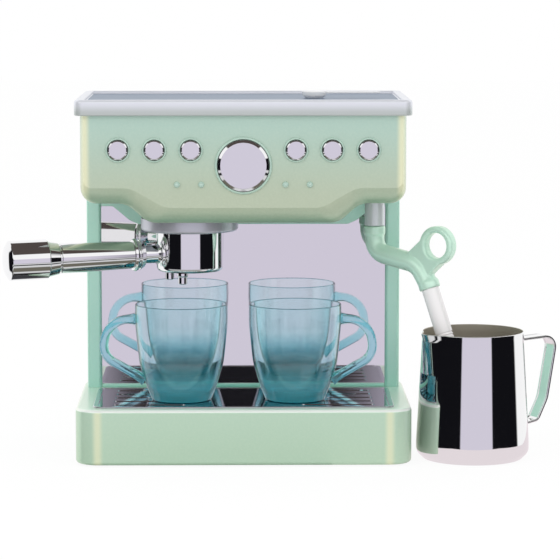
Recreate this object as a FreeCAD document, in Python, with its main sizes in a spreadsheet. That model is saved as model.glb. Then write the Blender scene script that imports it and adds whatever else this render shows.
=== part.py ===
import FreeCAD, Part
import math
import os
import re

import Sketcher

# A toy coffee maker with its cups, milk jug, spoon, portafilter and steam wand.
# Millimetres. The front looks along -Y, +Z is up, X = 0 is the middle, Z = 0 is the table.

os.makedirs("parts", exist_ok=True)
doc = FreeCAD.newDocument("toy_coffee_maker")
Vector = FreeCAD.Vector
UP = Vector(0, 0, 1)

# Driving dimensions. Places called "back" are measured behind the front of the base.
CELLS = {
    # Base
    "base_width": 230, "base_depth": 140, "base_top": 39.3, "base_lift": 1.0,
    "base_corner": 16, "base_edge": 2.6, "wall": 2.2,
    # Drip tray and its well
    "tray_width": 206, "tray_front_back": 8, "tray_rear_back": 95, "tray_top": 40.3,
    "tray_corner": 7, "tray_floor": 30, "tray_gap": 0.35, "tray_plate": 2, "tray_seat": 2,
    "slot_length": 49.5, "slot_wide": 4.2, "slot_pitch": 15.8, "slot_inner": 40,
    # Columns and rear panels
    "column_outer": 111.3, "column_inner": 100.9, "column_front_back": 102,
    "column_rear_back": 137, "mirror_back": 105, "mirror_thick": 1.2, "surround_thick": 2,
    "surround_high": 169.1, "surround_low": 156.3, "mirror_foot": 41.7,
    # Head
    "face_half": 107.5, "face_back": 3.5, "face_high": 190.1, "face_low": 176.7,
    "face_run_low": 53.1, "face_run_high": 76.3, "face_run_round": 20, "face_corner": 5,
    "head_half": 110.4, "head_high": 178.8, "head_low": 165.5,
    "head_run_low": 64.4, "head_run_high": 79.2, "head_run_round": 16, "head_corner": 11,
    "head_bevel": 12, "head_rear_back": 134, "head_top": 238.9,
    # Lid on the head
    "lid_width": 227.7, "lid_depth": 137.5, "lid_top": 249.6, "lid_rim": 6.5, "lid_recess": 2,
    "lid_corner": 6,
    # Controls
    "button_across": 13.4, "button_ring": 16.8, "button_high": 215.8, "button_near": 35.5,
    "button_pitch": 24.5, "knob_across": 34.9, "knob_ring": 38.9, "knob_high": 205.3,
    "ring_proud": 1.3, "cap_proud": 2.6, "push": 2, "lamp_across": 4.4, "lamp_high": 192.5,
    "lamp_near": 28.4, "lamp_far": 44.8,
    # Brew group and portafilter
    "group_off": 37.2, "group_back": 50, "group_across": 67.2, "group_low": 157.4,
    "cup_across": 46.2, "cup_low": 129.2, "cup_wall": 2, "spout_low": 121.5,
    "spout_across": 6.2, "spout_apart": 31, "spout_off": 9.8,
    "handle_high": 141.8, "handle_swing": 18, "handle_droop": 0.7, "boss_end": 22.6,
    "neck_across": 12.4, "collar_across": 22.7, "rod_thin": 18.4, "rod_thick": 21.2,
    "grip_across": 27.6, "neck_end": 33.4, "collar_end": 41.3, "rod_end": 92.9,
    "grip_start": 101.6, "grip_end": 128.1, "grip_dome": 4.1,
    # Steam wand
    "wand_off": 91.6, "wand_back": 67, "wand_collar_across": 13.8, "wand_collar_low": 158.9,
    "wand_pin_across": 8, "wand_yaw": -38, "arm_across": 13.6, "loop_reach": 53.4, "loop_high": 148,
    "loop_hole": 17.4, "loop_across": 26.8, "loop_thick": 8.6, "tube_across": 12,
    "tube_lean": 21.4, "tube_bore": 8.4, "tube_end_high": 81,
    # Mugs
    "mug_off_left": -43, "mug_off_right": 35.7, "mug_back": 43, "mug_foot": 20.7,
    "mug_belly": 32.2, "mug_rim": 32, "mug_height": 66.8, "mug_wall": 2,
    # Milk jug
    "jug_off": 158.5, "jug_back": 36, "jug_foot": 39, "jug_rim": 35.2, "jug_height": 88.6,
    "jug_wall": 1, "jug_turned": 28,
    # Spoon
    "spoon_off": 68, "spoon_back": 66, "spoon_length": 55,
    # Inside
    "cell_across": 14.2, "cell_length": 50, "battery_back": 105, "board_back": 14,
}

size = doc.addObject("Spreadsheet::Sheet", "size")
for row, (alias, number) in enumerate(CELLS.items(), start=1):
    size.set(f"A{row}", alias.replace("_", " "))
    size.set(f"B{row}", str(number))
    size.setAlias(f"B{row}", alias)
doc.recompute()


def cells(formula):
    """A formula in the sheet's names, as the document's expressions spell it."""
    return re.sub(r"[a-z][a-z_]+", lambda m: ("size." if m[0] in CELLS else "") + m[0], str(formula))


def value(formula):
    return float(doc.getObject("size").evalExpression(cells(formula)))


def bind(item, **formulas):
    """Tie properties to the sheet. Two underscores in a name stand for a dot."""
    for name, formula in formulas.items():
        item.setExpression(name.replace("__", "."), cells(formula))


def behind(distance):
    """Y of a place that lies this far behind the front of the base."""
    return f"({distance}) - base_depth / 2"


def place(item, x=0, y=0, z=0, turn=None):
    """Put an item at its place in the machine, turned by an axis and an angle."""
    if turn:
        item.Placement = FreeCAD.Placement(Vector(), FreeCAD.Rotation(*turn))
    bind(item, Placement__Base__x=x, Placement__Base__y=y, Placement__Base__z=z)


# Sketch helpers

def body(label):
    made = doc.addObject("PartDesign::Body", label)
    made.Label = label
    return made


def sketch(owner, role, away=0):
    """A sketch on one of the body's origin planes, moved along its normal."""
    drawn = owner.newObject("Sketcher::SketchObject", owner.Name + "_sketch")
    planes = [f for f in owner.Origin.OriginFeatures if f.Role == role]
    drawn.AttachmentSupport = [(planes[0], "")]
    drawn.MapMode = "FlatFace"
    bind(drawn, AttachmentOffset__Base__z=away)
    return drawn


def tie(drawn, kind, *rest, formula):
    index = drawn.addConstraint(Sketcher.Constraint(kind, *rest, value(formula)))
    drawn.setExpression(f"Constraints[{index}]", cells(formula))


def fix_point(drawn, edge, end, x, y):
    for kind, axis, formula in (("DistanceX", -2, x), ("DistanceY", -1, y)):
        if str(formula) == "0":
            drawn.addConstraint(Sketcher.Constraint("PointOnObject", edge, end, axis))
        else:
            tie(drawn, kind, -1, 1, edge, end, formula=formula)


def arc_between(start, end, radius):
    """A minor arc. A positive radius bulges to the right of the way from start to end."""
    chord = end - start
    side = Vector(-chord.y, chord.x, 0).normalize() * math.copysign(1, radius)
    drop = math.sqrt(max(radius * radius - chord.Length ** 2 / 4, 0))
    centre = (start + end) / 2 + side * drop
    first, last = (start, end) if radius > 0 else (end, start)
    angles = [math.atan2(p.y - centre.y, p.x - centre.x) for p in (first, last)]
    return Part.ArcOfCircle(Part.Circle(centre, UP, abs(radius)), *angles)


def outline(drawn, *corners):
    """A closed outline. A corner is (x, y), or (x, y, radius) where an arc leads to it."""
    points = [Vector(value(c[0]), value(c[1]), 0) for c in corners]
    ends = []
    for i, corner in enumerate(corners):
        start, end = points[i - 1], points[i]
        if len(corner) == 2:
            edge = drawn.addGeometry(Part.LineSegment(start, end))
            ends.append((edge, 1, 2))
        else:
            radius = value(corner[2])
            edge = drawn.addGeometry(arc_between(start, end, radius))
            ends.append((edge, 1, 2) if radius > 0 else (edge, 2, 1))
    for i, corner in enumerate(corners):
        edge, first, last = ends[i]
        following = ends[(i + 1) % len(ends)]
        drawn.addConstraint(Sketcher.Constraint("Coincident", edge, last, following[0], following[1]))
        fix_point(drawn, edge, last, corner[0], corner[1])
        if len(corner) == 3:
            tie(drawn, "Radius", edge, formula=f"abs({corner[2]})")


def rounded(drawn, left, right, low, high, radius):
    r = f"({radius})"
    outline(drawn, (f"{left} + {r}", low, r), (f"{right} - {r}", low), (right, f"{low} + {r}", r),
            (right, f"{high} - {r}"), (f"{right} - {r}", high, r), (f"{left} + {r}", high),
            (left, f"{high} - {r}", r), (left, f"{low} + {r}"))


def circle(drawn, x, y, across):
    edge = drawn.addGeometry(Part.Circle(Vector(value(x), value(y), 0), UP, value(across) / 2))
    fix_point(drawn, edge, 3, x, y)
    tie(drawn, "Diameter", edge, formula=across)


def feature(owner, kind, drawn, length=None, back=False):
    """A pad, pocket, revolution or groove of a sketch."""
    made = owner.newObject("PartDesign::" + kind, f"{owner.Name}_{kind.lower()}")
    made.Profile = drawn
    if length is not None:
        bind(made, Length=length)
        made.Reversed = back
    drawn.Visibility = False
    return made


def turned(owner, *corners):
    """A solid of revolution about the body's own Z axis. Corners are (radius, height)."""
    drawn = sketch(owner, "XZ_Plane")
    outline(drawn, *corners)
    made = feature(owner, "Revolution", drawn)
    made.ReferenceAxis = (drawn, ["V_Axis"])
    made.Angle = 360
    return made


def soften(owner, kind, amount, wanted):
    """Fillet or chamfer the edges of the newest feature that a test picks."""
    doc.recompute()
    base = owner.Tip
    names = [f"Edge{i}" for i, e in enumerate(base.Shape.Edges, start=1) if wanted(e)]
    made = owner.newObject("PartDesign::" + kind, f"{owner.Name}_{kind.lower()}")
    made.Base = (base, names)
    bind(made, **{"Radius" if kind == "Fillet" else "Size": amount})
    return made


def level(edge, height):
    """True for an edge that lies flat at a height given by a formula."""
    box = edge.BoundBox
    return abs(box.ZMin - value(height)) < 0.01 and box.ZLength < 0.01


def cut(label, base, *tools):
    made = doc.addObject("Part::Cut", label)
    made.Label = label
    made.Base = base
    made.Tool = tools[0] if len(tools) == 1 else fused(label + "_tools", *tools)
    return made


def fused(label, *solids):
    made = doc.addObject("Part::MultiFuse", label)
    made.Label = label
    made.Shapes = list(solids)
    return made


def group(label, solids):
    """Equal loose pieces that share one node."""
    made = doc.addObject("Part::Compound", label)
    made.Label = label
    made.Links = solids
    return made


def block(label, x, y, z, length, width, height):
    made = doc.addObject("Part::Box", label)
    made.Label = label
    bind(made, Length=length, Width=width, Height=height)
    place(made, x, y, z)
    return made


def cylinder(label, x, y, z, across, height, turn=None):
    made = doc.addObject("Part::Cylinder", label)
    made.Label = label
    bind(made, Radius=f"({across}) / 2", Height=height)
    place(made, x, y, z, turn)
    return made


TO_FRONT = (Vector(1, 0, 0), 90)
ALONG_X = (Vector(0, 1, 0), 90)
SIDES = (-1, 1)


# Base

BASE_SCREW = (95, 30)


def base_shell():
    shell = body("base_shell")
    plan = sketch(shell, "XY_Plane", "base_lift")
    rounded(plan, "-base_width / 2", "base_width / 2", "-base_depth / 2", "base_depth / 2", "base_corner")
    feature(shell, "Pad", plan, "base_top - base_lift")
    soften(shell, "Fillet", "base_edge", lambda e: level(e, "base_top"))
    soften(shell, "Fillet", "base_edge", lambda e: level(e, "base_lift"))
    well = sketch(shell, "XY_Plane", "base_top + 1")
    seat = "(tray_seat - tray_gap)"
    rounded(well, f"-tray_width / 2 + {seat}", f"tray_width / 2 - {seat}",
            behind(f"tray_front_back + {seat}"), behind(f"tray_rear_back - {seat}"), f"tray_corner - {seat}")
    feature(shell, "Pocket", well, "base_top + 1 - tray_floor")
    hollow = sketch(shell, "XY_Plane")
    rounded(hollow, "-base_width / 2 + wall", "base_width / 2 - wall",
            "-base_depth / 2 + wall", "base_depth / 2 - wall", "base_corner - wall")
    feature(shell, "Pocket", hollow, "tray_floor - wall", back=True)
    rear = sketch(shell, "XY_Plane")
    rounded(rear, "-base_width / 2 + wall", "base_width / 2 - wall",
            behind(f"tray_rear_back - {seat} + wall"), "base_depth / 2 - wall", "base_corner - wall")
    feature(shell, "Pocket", rear, "base_top - wall", back=True)
    bosses = sketch(shell, "XY_Plane", "base_lift + 2.4")
    for i in SIDES:
        for j in SIDES:
            circle(bosses, i * BASE_SCREW[0], j * BASE_SCREW[1], 8)
            circle(bosses, i * BASE_SCREW[0], j * BASE_SCREW[1], 2.6)
    feature(shell, "Pad", bosses, "tray_floor - wall - base_lift - 2.2")
    passage = sketch(shell, "XY_Plane")
    circle(passage, "(column_inner + column_outer) / 2", behind("column_rear_back - 15"), 4)
    feature(shell, "Pocket", passage, "base_top + 1", back=True)
    return shell


def base_plate():
    plate = body("base_plate")
    plan = sketch(plate, "XY_Plane", "base_lift + 0.3")
    rounded(plan, "-base_width / 2 + wall + 0.2", "base_width / 2 - wall - 0.2",
            "-base_depth / 2 + wall + 0.2", "base_depth / 2 - wall - 0.2", "base_corner - wall - 0.2")
    feature(plate, "Pad", plan, 2)
    well = sketch(plate, "XY_Plane", "base_lift + 0.3")
    rounded(well, "-cell_length / 2 - 5.5", "cell_length / 2 + 5.5",
            behind("battery_back - 1.5 * cell_across - 4"), behind("battery_back + 1.5 * cell_across + 4"), 2)
    feature(plate, "Pad", well, "cell_across + 5")
    opening = sketch(plate, "XY_Plane")
    rounded(opening, "-cell_length / 2 - 3.5", "cell_length / 2 + 3.5",
            behind("battery_back - 1.5 * cell_across - 2"), behind("battery_back + 1.5 * cell_across + 2"), 1)
    feature(plate, "Pocket", opening, "base_lift + 3.7 + cell_across", back=True)
    holes = sketch(plate, "XY_Plane")
    for i in SIDES:
        for j in SIDES:
            circle(holes, i * BASE_SCREW[0], j * BASE_SCREW[1], 2.8)
    feature(plate, "Pocket", holes, 6, back=True)
    return plate


def battery_cover():
    cover = body("battery_cover")
    plan = sketch(cover, "XY_Plane", "base_lift + 0.3")
    rounded(plan, "-cell_length / 2 - 3.2", "cell_length / 2 + 3.2",
            behind("battery_back - 1.5 * cell_across - 1.7"), behind("battery_back + 1.5 * cell_across + 1.7"), 1)
    feature(cover, "Pad", plan, 1.6)
    hole = sketch(cover, "XY_Plane")
    circle(hole, "cell_length / 2 + 0.4", behind("battery_back"), 3)
    feature(cover, "Pocket", hole, 6, back=True)
    return cover


def batteries():
    rows = [cylinder(f"battery_{n}", "-cell_length / 2", behind(f"battery_back + {n} * cell_across"),
                     "base_lift + 2.6 + cell_across / 2",
                     "cell_across - 0.2", "cell_length", ALONG_X) for n in (-1, 0, 1)]
    return group("batteries", rows)


def battery_contacts():
    plates = [block(f"contact_{side}_{n}".replace("-", "m"), f"{side} * (cell_length / 2 + 1) - 0.4",
                    behind(f"battery_back + {n} * cell_across - 4.5"), "base_lift + 3", 0.8, 9, "cell_across - 1")
              for side in SIDES for n in (-1, 0, 1)]
    return group("battery_contacts", plates)


def rubber_feet():
    feet = [cylinder(f"foot_{i}_{j}".replace("-", "m"), f"{i} * (base_width / 2 - 22)",
                     f"{j} * (base_depth / 2 - 20)", 0, 14, "base_lift + 0.3") for i in SIDES for j in SIDES]
    feet.append(cylinder("foot_middle", 0, 0, 0, 14, "base_lift + 0.3"))
    return group("rubber_feet", feet)


def screws(label, centres, length):
    """Flat headed screws under the base, each a head and a shank."""
    solids = []
    for n, (x, y) in enumerate(centres):
        head = cylinder(f"{label}_head_{n}", x, y, "base_lift - 0.65", 5, 0.9)
        shank = cylinder(f"{label}_shank_{n}", x, y, "base_lift", 2.4, length)
        solids.append(fused(f"{label}_{n}", head, shank))
    if len(solids) > 1:
        return group(label, solids)
    solids[0].Label = label
    return solids[0]


def drip_tray():
    """A chromed grid plate that rests on the base, with a skirt that drops into its well."""
    tray = body("drip_tray")
    low, seat = "tray_floor + 0.05", "tray_seat"
    skirt = sketch(tray, "XY_Plane", low)
    rounded(skirt, f"-tray_width / 2 + {seat}", f"tray_width / 2 - {seat}", behind(f"tray_front_back + {seat}"),
            behind(f"tray_rear_back - {seat}"), f"tray_corner - {seat}")
    feature(tray, "Pad", skirt, "base_top - tray_floor")
    plate = sketch(tray, "XY_Plane", "base_top + 0.05")
    rounded(plate, "-tray_width / 2", "tray_width / 2", behind("tray_front_back"),
            behind("tray_rear_back"), "tray_corner")
    feature(tray, "Pad", plate, "tray_top - base_top - 0.05")
    soften(tray, "Fillet", 0.3, lambda e: level(e, "tray_top"))
    hollow = sketch(tray, "XY_Plane", low)
    rounded(hollow, "-tray_width / 2 + tray_plate + 2", "tray_width / 2 - tray_plate - 2",
            behind("tray_front_back + tray_plate + 2"), behind("tray_rear_back - tray_plate - 2"), 4)
    feature(tray, "Pocket", hollow, "tray_top - tray_floor - tray_plate", back=True)
    slots = sketch(tray, "XY_Plane", "tray_top + 1")
    middle = "(tray_front_back + tray_rear_back) / 2 - 2.5"
    for side in SIDES:
        for n in range(-2, 3):
            near, far = "slot_inner", "(slot_inner + slot_length)"
            left, right = (near, far) if side > 0 else ("-" + far, "-" + near)
            line = behind(f"{middle} + {n} * slot_pitch")
            rounded(slots, left, right, f"{line} - slot_wide / 2", f"{line} + slot_wide / 2", "slot_wide / 2.02")
    feature(tray, "Pocket", slots, "tray_plate + 2")
    return tray


# Head

def head_section(owner, blend, away):
    """The head's front outline: 0 at the flat face, 1 at the full body behind the bevel."""
    def mix(face, head):
        return f"({face} + ({head} - {face}) * {blend:.4f})"
    half = mix("face_half", "head_half")
    high, low = mix("face_high", "head_high"), mix("face_low", "head_low")
    near, far = mix("face_run_low", "head_run_low"), mix("face_run_high", "head_run_high")
    corner, turn = mix("face_corner", "head_corner"), mix("face_run_round", "head_run_round")
    run, rise = f"({far} - {near})", f"({high} - {low})"
    slope = f"sqrt({run} * {run} + {rise} * {rise})"
    back = f"({turn} * ({slope} - {run}) / {rise})"
    over, up = f"{back} * {run} / {slope}", f"{back} * {rise} / {slope}"
    drawn = sketch(owner, "XZ_Plane", f"base_depth / 2 - ({away})")
    outline(drawn,
            (f"-{half}", "head_top"), (f"-{half}", f"{high} + {corner}"),
            (f"-{half} + {corner}", high, corner), (f"-{far} - {back}", high),
            (f"-{far} + {over}", f"{high} - {up}", f"-({turn})"), (f"-{near} - {over}", f"{low} + {up}"),
            (f"-{near} + {back}", low, turn), (f"{near} - {back}", low),
            (f"{near} + {over}", f"{low} + {up}", turn), (f"{far} - {over}", f"{high} - {up}"),
            (f"{far} + {back}", high, f"-({turn})"),
            (f"{half} - {corner}", high), (half, f"{high} + {corner}", corner), (half, "head_top"))
    return drawn


def head_blank():
    """The outside of the head: a flat face, a crease, a convex bevel, then a straight body."""
    blank = body("head_blank")
    steps, crease = 4, math.radians(35)
    sections = []
    for n in range(steps + 1):
        angle = crease + (math.pi / 2 - crease) * n / steps
        away = f"face_back + head_bevel * {1 - math.cos(angle) / math.cos(crease):.4f}"
        blend = (math.sin(angle) - math.sin(crease)) / (1 - math.sin(crease))
        sections.append(head_section(blank, blend, away))
    bevel = feature(blank, "AdditiveLoft", sections[0])
    bevel.Sections = sections[1:]
    feature(blank, "Pad", sections[-1], "head_rear_back - face_back - head_bevel", back=True)
    return blank


def head_hollow():
    """The space inside the head, open upwards, with the holes for buttons and wires."""
    hollow = body("head_hollow")
    front = sketch(hollow, "XZ_Plane", "base_depth / 2 - face_back - wall")
    half, step = "(face_half - wall)", "(head_run_low + 6)"
    shoulder, floor = "face_high + wall", "face_low + wall"
    outline(front, (f"-{half}", "head_top + 5"), (f"-{half}", shoulder), ("-face_run_high", shoulder),
            ("-face_run_low", floor), ("face_run_low", floor), ("face_run_high", shoulder),
            (half, shoulder), (half, "head_top + 5"))
    feature(hollow, "Pad", front, "head_rear_back - face_back - 2 * wall", back=True)
    deep = sketch(hollow, "XZ_Plane", "base_depth / 2 - face_back - head_bevel - 1")
    outline(deep, (f"-{half}", "head_top + 5"), (f"-{half}", "head_high + wall"),
            ("-head_run_high", "head_high + wall"), (f"-{step}", "head_low + wall + 1.5"),
            (step, "head_low + wall + 1.5"), ("head_run_high", "head_high + wall"),
            (half, "head_high + wall"), (half, "head_top + 5"))
    feature(hollow, "Pad", deep, "head_rear_back - face_back - head_bevel - 1 - wall", back=True)
    return hollow


def button_places():
    """The six small buttons, from left to right, as formulas of X."""
    steps = (2, 1, 0)
    left = [f"-(button_near + {n} * button_pitch)" for n in steps]
    right = [f"(button_near + {n} * button_pitch)" for n in reversed(steps)]
    return left + right


def lamp_places():
    return ["-lamp_far", "-lamp_near", "lamp_near", "lamp_far"]


def head_shell(blank):
    rings, holes = [], []
    controls = [(x, "button_high", "button_across", "button_ring") for x in button_places()]
    controls.append((0, "knob_high", "knob_across", "knob_ring"))
    for n, (x, z, across, ring) in enumerate(controls):
        rings.append(bezel(f"bezel_{n}", x, z, across, ring))
        holes.append(cylinder(f"button_hole_{n}", x, behind("face_back + 6"), z,
                              f"{across} + 0.6", 12, TO_FRONT))
    for n, x in enumerate(lamp_places()):
        holes.append(cylinder(f"lamp_hole_{n}", x, behind("face_back + 6"), "lamp_high",
                              "lamp_across - 1", 12, TO_FRONT))
    passage = cylinder("head_passage", "(column_inner + column_outer) / 2 - 1.8",
                       behind("column_rear_back - 15"), "head_high - 5", 4, 12)
    walls = cut("head_walls", fused("head_outside", blank, *rings), head_hollow(), *holes, passage)
    walls.Label = "head_shell"
    return walls


def bezel(label, x, z, across, ring):
    """The raised ring moulded round a button, with a rounded crest."""
    made = body(label)
    inner, outer = f"({across} / 2 + 0.3)", f"{ring} / 2"
    turned(made, (inner, -1), (outer, -1), (outer, "ring_proud - 0.6"),
           (f"{outer} - 0.6", "ring_proud", 0.6), (inner, "ring_proud"))
    place(made, x, behind("face_back"), z, TO_FRONT)
    return made


def push_button(label, x, z, across, bevel, stem):
    """A cap with a bevelled edge, a flange that keeps it in, and a hollow back with a stem."""
    cap = body(label)
    rim = f"{across} / 2"
    turned(cap, (0, "cap_proud"), (0, f"-{stem}"), (1.8, f"-{stem}"), (1.8, "-2"),
           (f"{rim} - 1.2", "-2"), (f"{rim} - 1.2", "-3.9"), (f"{rim} + 1", "-3.9"),
           (f"{rim} + 1", "-2.7"), (rim, "-2.7"), (rim, f"cap_proud - {bevel} * 0.6"),
           (f"{rim} - {bevel}", "cap_proud"))
    place(cap, x, behind("face_back"), z, TO_FRONT)
    return cap


def buttons():
    depth = "(board_back - face_back - push - 1.6)"
    caps = [push_button(f"button_{n}", x, "button_high", "button_across", 0.9, depth)
            for n, x in enumerate(button_places(), start=1)]
    caps.append(push_button("brew_button", 0, "knob_high", "knob_across", 1.9, depth))
    return caps


def indicator_domes():
    domes = []
    for n, x in enumerate(lamp_places()):
        dome = body(f"indicator_dome_{n}")
        stem, reach = "(lamp_across / 2 - 0.7)", "(lamp_across / 2)"
        turned(dome, (0, reach, reach), (0, "-wall - 2"), (stem, "-wall - 2"), (stem, 0), (reach, 0))
        place(dome, x, behind("face_back"), "lamp_high", TO_FRONT)
        domes.append(dome)
    return group("indicator_domes", domes)


def lid_tray():
    """The shallow tray that closes the head, with a raised rim round its top."""
    lid = body("lid_tray")
    plan = sketch(lid, "XY_Plane", "head_top")
    rounded(plan, "-lid_width / 2", "lid_width / 2", behind(0), behind("lid_depth"), "lid_corner")
    feature(lid, "Pad", plan, "lid_top - head_top")
    soften(lid, "Fillet", 2, lambda e: level(e, "lid_top"))
    soften(lid, "Fillet", 1, lambda e: level(e, "head_top"))
    recess = sketch(lid, "XY_Plane", "lid_top + 1")
    rounded(recess, "-lid_width / 2 + lid_rim", "lid_width / 2 - lid_rim",
            behind("lid_rim"), behind("lid_depth - lid_rim"), 3)
    feature(lid, "Pocket", recess, "lid_recess + 1")
    hollow = sketch(lid, "XY_Plane", "head_top")
    rounded(hollow, "-face_half + 4", "face_half - 4", behind("face_back + 4"),
            behind("head_rear_back - 4"), 5)
    feature(lid, "Pocket", hollow, "lid_top - lid_recess - head_top - wall", back=True)
    return lid


def circuit_board():
    board = block("board_plate", -96, behind("board_back"), "button_high - 22", 192, 1.6, 34)
    return cut("circuit_board", board, *[
        cylinder(f"board_hole_{n}", x, behind("board_back + 4"), "button_high + 9", 3, 8, TO_FRONT)
        for n, x in enumerate((-70, 70))])


def switches():
    places = [(x, "button_high") for x in button_places()] + [(0, "knob_high")]
    return group("switches", [
        block(f"switch_{n}", f"{x} - 3", behind("board_back - 1.4"), f"{z} - 3", 6, 1.4, 6)
        for n, (x, z) in enumerate(places)])


# Rear of the machine

def column(label, side, blank):
    post = body(label + "_post")
    inner, outer, corner = "column_inner", "column_outer", 2.5
    left, right = (inner, outer) if side > 0 else (f"-{outer}", f"-{inner}")
    plan = sketch(post, "XY_Plane", "base_top")
    rounded(plan, left, right, behind("column_front_back"), behind("column_rear_back"), corner)
    feature(post, "Pad", plan, "head_high + 8 - base_top")
    hollow = sketch(post, "XY_Plane", "base_top")
    rounded(hollow, f"{left} + wall", f"{right} - wall", behind("column_front_back + wall"),
            behind("column_rear_back - wall"), 1)
    feature(post, "Pocket", hollow, "head_high + 9 - base_top", back=True)
    seat = block(label + "_seat", f"{side} * column_inner - 1.2", behind("mirror_back - 0.1"), "base_top - 1",
                 2.4, "mirror_thick + 0.2", "head_high + 12 - base_top")
    return cut(label, post, blank, seat)


def mirror_panel(blank):
    sheet = block("mirror_sheet", "-column_inner - 1", behind("mirror_back"), "base_top + 0.1",
                  "2 * column_inner + 2", "mirror_thick", "head_high + 6 - base_top")
    return cut("mirror_panel", sheet, blank)


def mirror_surround(blank):
    """The moulding in front of the mirror: a panel above that follows the head, and a ledge below."""
    frame = body("surround_panel")
    edge, high, low = "(column_inner - 0.1)", "surround_high", "surround_low"
    front = sketch(frame, "XZ_Plane", "base_depth / 2 - mirror_back + surround_thick + 0.05")
    outline(front, (f"-{edge}", "head_high + 6"), (f"-{edge}", high), ("-92.8", high),
            ("-80.8", f"{low} + 2.8"), ("-74.4", low), ("74.4", low), ("80.8", f"{low} + 2.8"),
            ("92.8", high), (edge, high), (edge, "head_high + 6"))
    feature(frame, "Pad", front, "surround_thick", back=True)
    ledge = block("surround_ledge", f"-{edge}", behind("mirror_back - surround_thick - 0.05"), "base_top + 0.05",
                  f"2 * {edge}", "surround_thick", "mirror_foot - base_top")
    return group("mirror_surround", [cut("surround_top", frame, blank), ledge])


SPEAKER_X, SPEAKER_Z = -45, 105


def back_cover(blank):
    """The rear wall, with sound slots, screw holes and two ribs that hold the mirror."""
    wall_box = block("cover_wall", "-column_inner + 0.1", behind("column_rear_back - wall"), "base_top + 0.1",
                     "2 * column_inner - 0.2", "wall", "head_high + 6 - base_top")
    ribs = [block(f"cover_rib_{n}", f"{x} - 0.9", behind("mirror_back + mirror_thick + 0.05"), "base_top + 6",
                  1.8, "column_rear_back - wall - mirror_back - mirror_thick + 0.5", 112)
            for n, x in enumerate((-82, 0, 82))]
    slots = [block(f"sound_slot_{n}", SPEAKER_X - 14, behind("column_rear_back - 5"),
                   SPEAKER_Z + 6 * n - 1.2, 28, 10, 2.4) for n in range(-2, 3)]
    holes = [cylinder(f"cover_hole_{n}", x, behind("column_rear_back + 4"), z, 2.6, 10, TO_FRONT)
             for n, (x, z) in enumerate(COVER_SCREWS)]
    return cut("back_cover", fused("cover_plate", wall_box, *ribs), blank, *slots, *holes)


COVER_SCREWS = [(x, z) for x in (-92, 92) for z in (52, 160)]


def back_screws():
    solids = []
    for n, (x, z) in enumerate(COVER_SCREWS):
        head = cylinder(f"back_screw_head_{n}", x, behind("column_rear_back + 1.5"), z, 5, 1.5, TO_FRONT)
        shank = cylinder(f"back_screw_shank_{n}", x, behind("column_rear_back + 0.2"), z, 2.4, 9, TO_FRONT)
        solids.append(fused(f"back_screw_{n}", head, shank))
    return group("back_screws", solids)


def speaker():
    y = behind("column_rear_back - wall - 0.1")
    basket = doc.addObject("Part::Cone", "speaker_basket")
    bind(basket, Radius1=20, Radius2=11, Height=7)
    place(basket, SPEAKER_X, y, SPEAKER_Z, TO_FRONT)
    magnet = cylinder("speaker_magnet", SPEAKER_X, behind("column_rear_back - wall - 6"), SPEAKER_Z, 20, 6, TO_FRONT)
    return fused("speaker", basket, magnet)


def wire_loom():
    """The wire from the battery box up the right column to the board."""
    loom = body("wire_loom")
    route = sketch(loom, "XZ_Plane", "base_depth / 2 - column_rear_back + 15")
    column_x, low, high, turn = "(column_inner + column_outer) / 2", "12", "head_high + 3", "2.8"
    points = [("cell_length / 2 + 6", low), (f"{column_x} - {turn}", low)]
    for first, last in (points,):
        edge = route.addGeometry(Part.LineSegment(*[Vector(value(x), value(z), 0) for x, z in (first, last)]))
        fix_point(route, edge, 1, *first)
        fix_point(route, edge, 2, *last)
    corner = [f"{column_x} - {turn}", low], [column_x, f"{low} + {turn}"]
    start, end = [Vector(value(x), value(z), 0) for x, z in corner]
    bend = route.addGeometry(arc_between(start, end, value(turn)))
    route.addConstraint(Sketcher.Constraint("Coincident", 0, 2, bend, 1))
    fix_point(route, bend, 2, *corner[1])
    tie(route, "Radius", bend, formula=turn)
    rise = route.addGeometry(Part.LineSegment(end, Vector(end.x, value(high), 0)))
    route.addConstraint(Sketcher.Constraint("Coincident", bend, 2, rise, 1))
    fix_point(route, rise, 2, f"{column_x} - 1.8", high)
    section = sketch(loom, "YZ_Plane", "cell_length / 2 + 6")
    circle(section, behind("column_rear_back - 15"), low, 2)
    pipe = feature(loom, "AdditivePipe", section)
    pipe.Spine = route
    route.Visibility = False
    return loom


# Brew group and portafilter

def group_ring(blank):
    """The ring under the head, with a bayonet groove and two ways in for the lugs."""
    ring = body("group_blank")
    reach, bore, groove = "group_across / 2", "cup_across / 2 + 1.6", "cup_across / 2 + 5.6"
    turned(ring, (f"{reach} - 1.5", "group_low"), (reach, "group_low + 1.5", 1.5), (reach, "head_high + 3"),
           (0, "head_high + 3"), (0, "group_low + 6.4"), (groove, "group_low + 6.4"),
           (groove, "group_low + 2.2"), (bore, "group_low + 2.2"), (bore, "group_low"))
    place(ring, "-group_off", behind("group_back"), 0)
    entry = block("bayonet_entry", f"-({groove})", -7, "group_low - 1", f"2 * ({groove})", 14, 4)
    entry.Placement = FreeCAD.Placement(Vector(), FreeCAD.Rotation(UP, 60), Vector())
    turned_entry = doc.addObject("Part::Compound", "bayonet_ways")
    turned_entry.Links = [entry]
    place(turned_entry, "-group_off", behind("group_back"), 0)
    return cut("group_ring", ring, blank, turned_entry)


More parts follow.
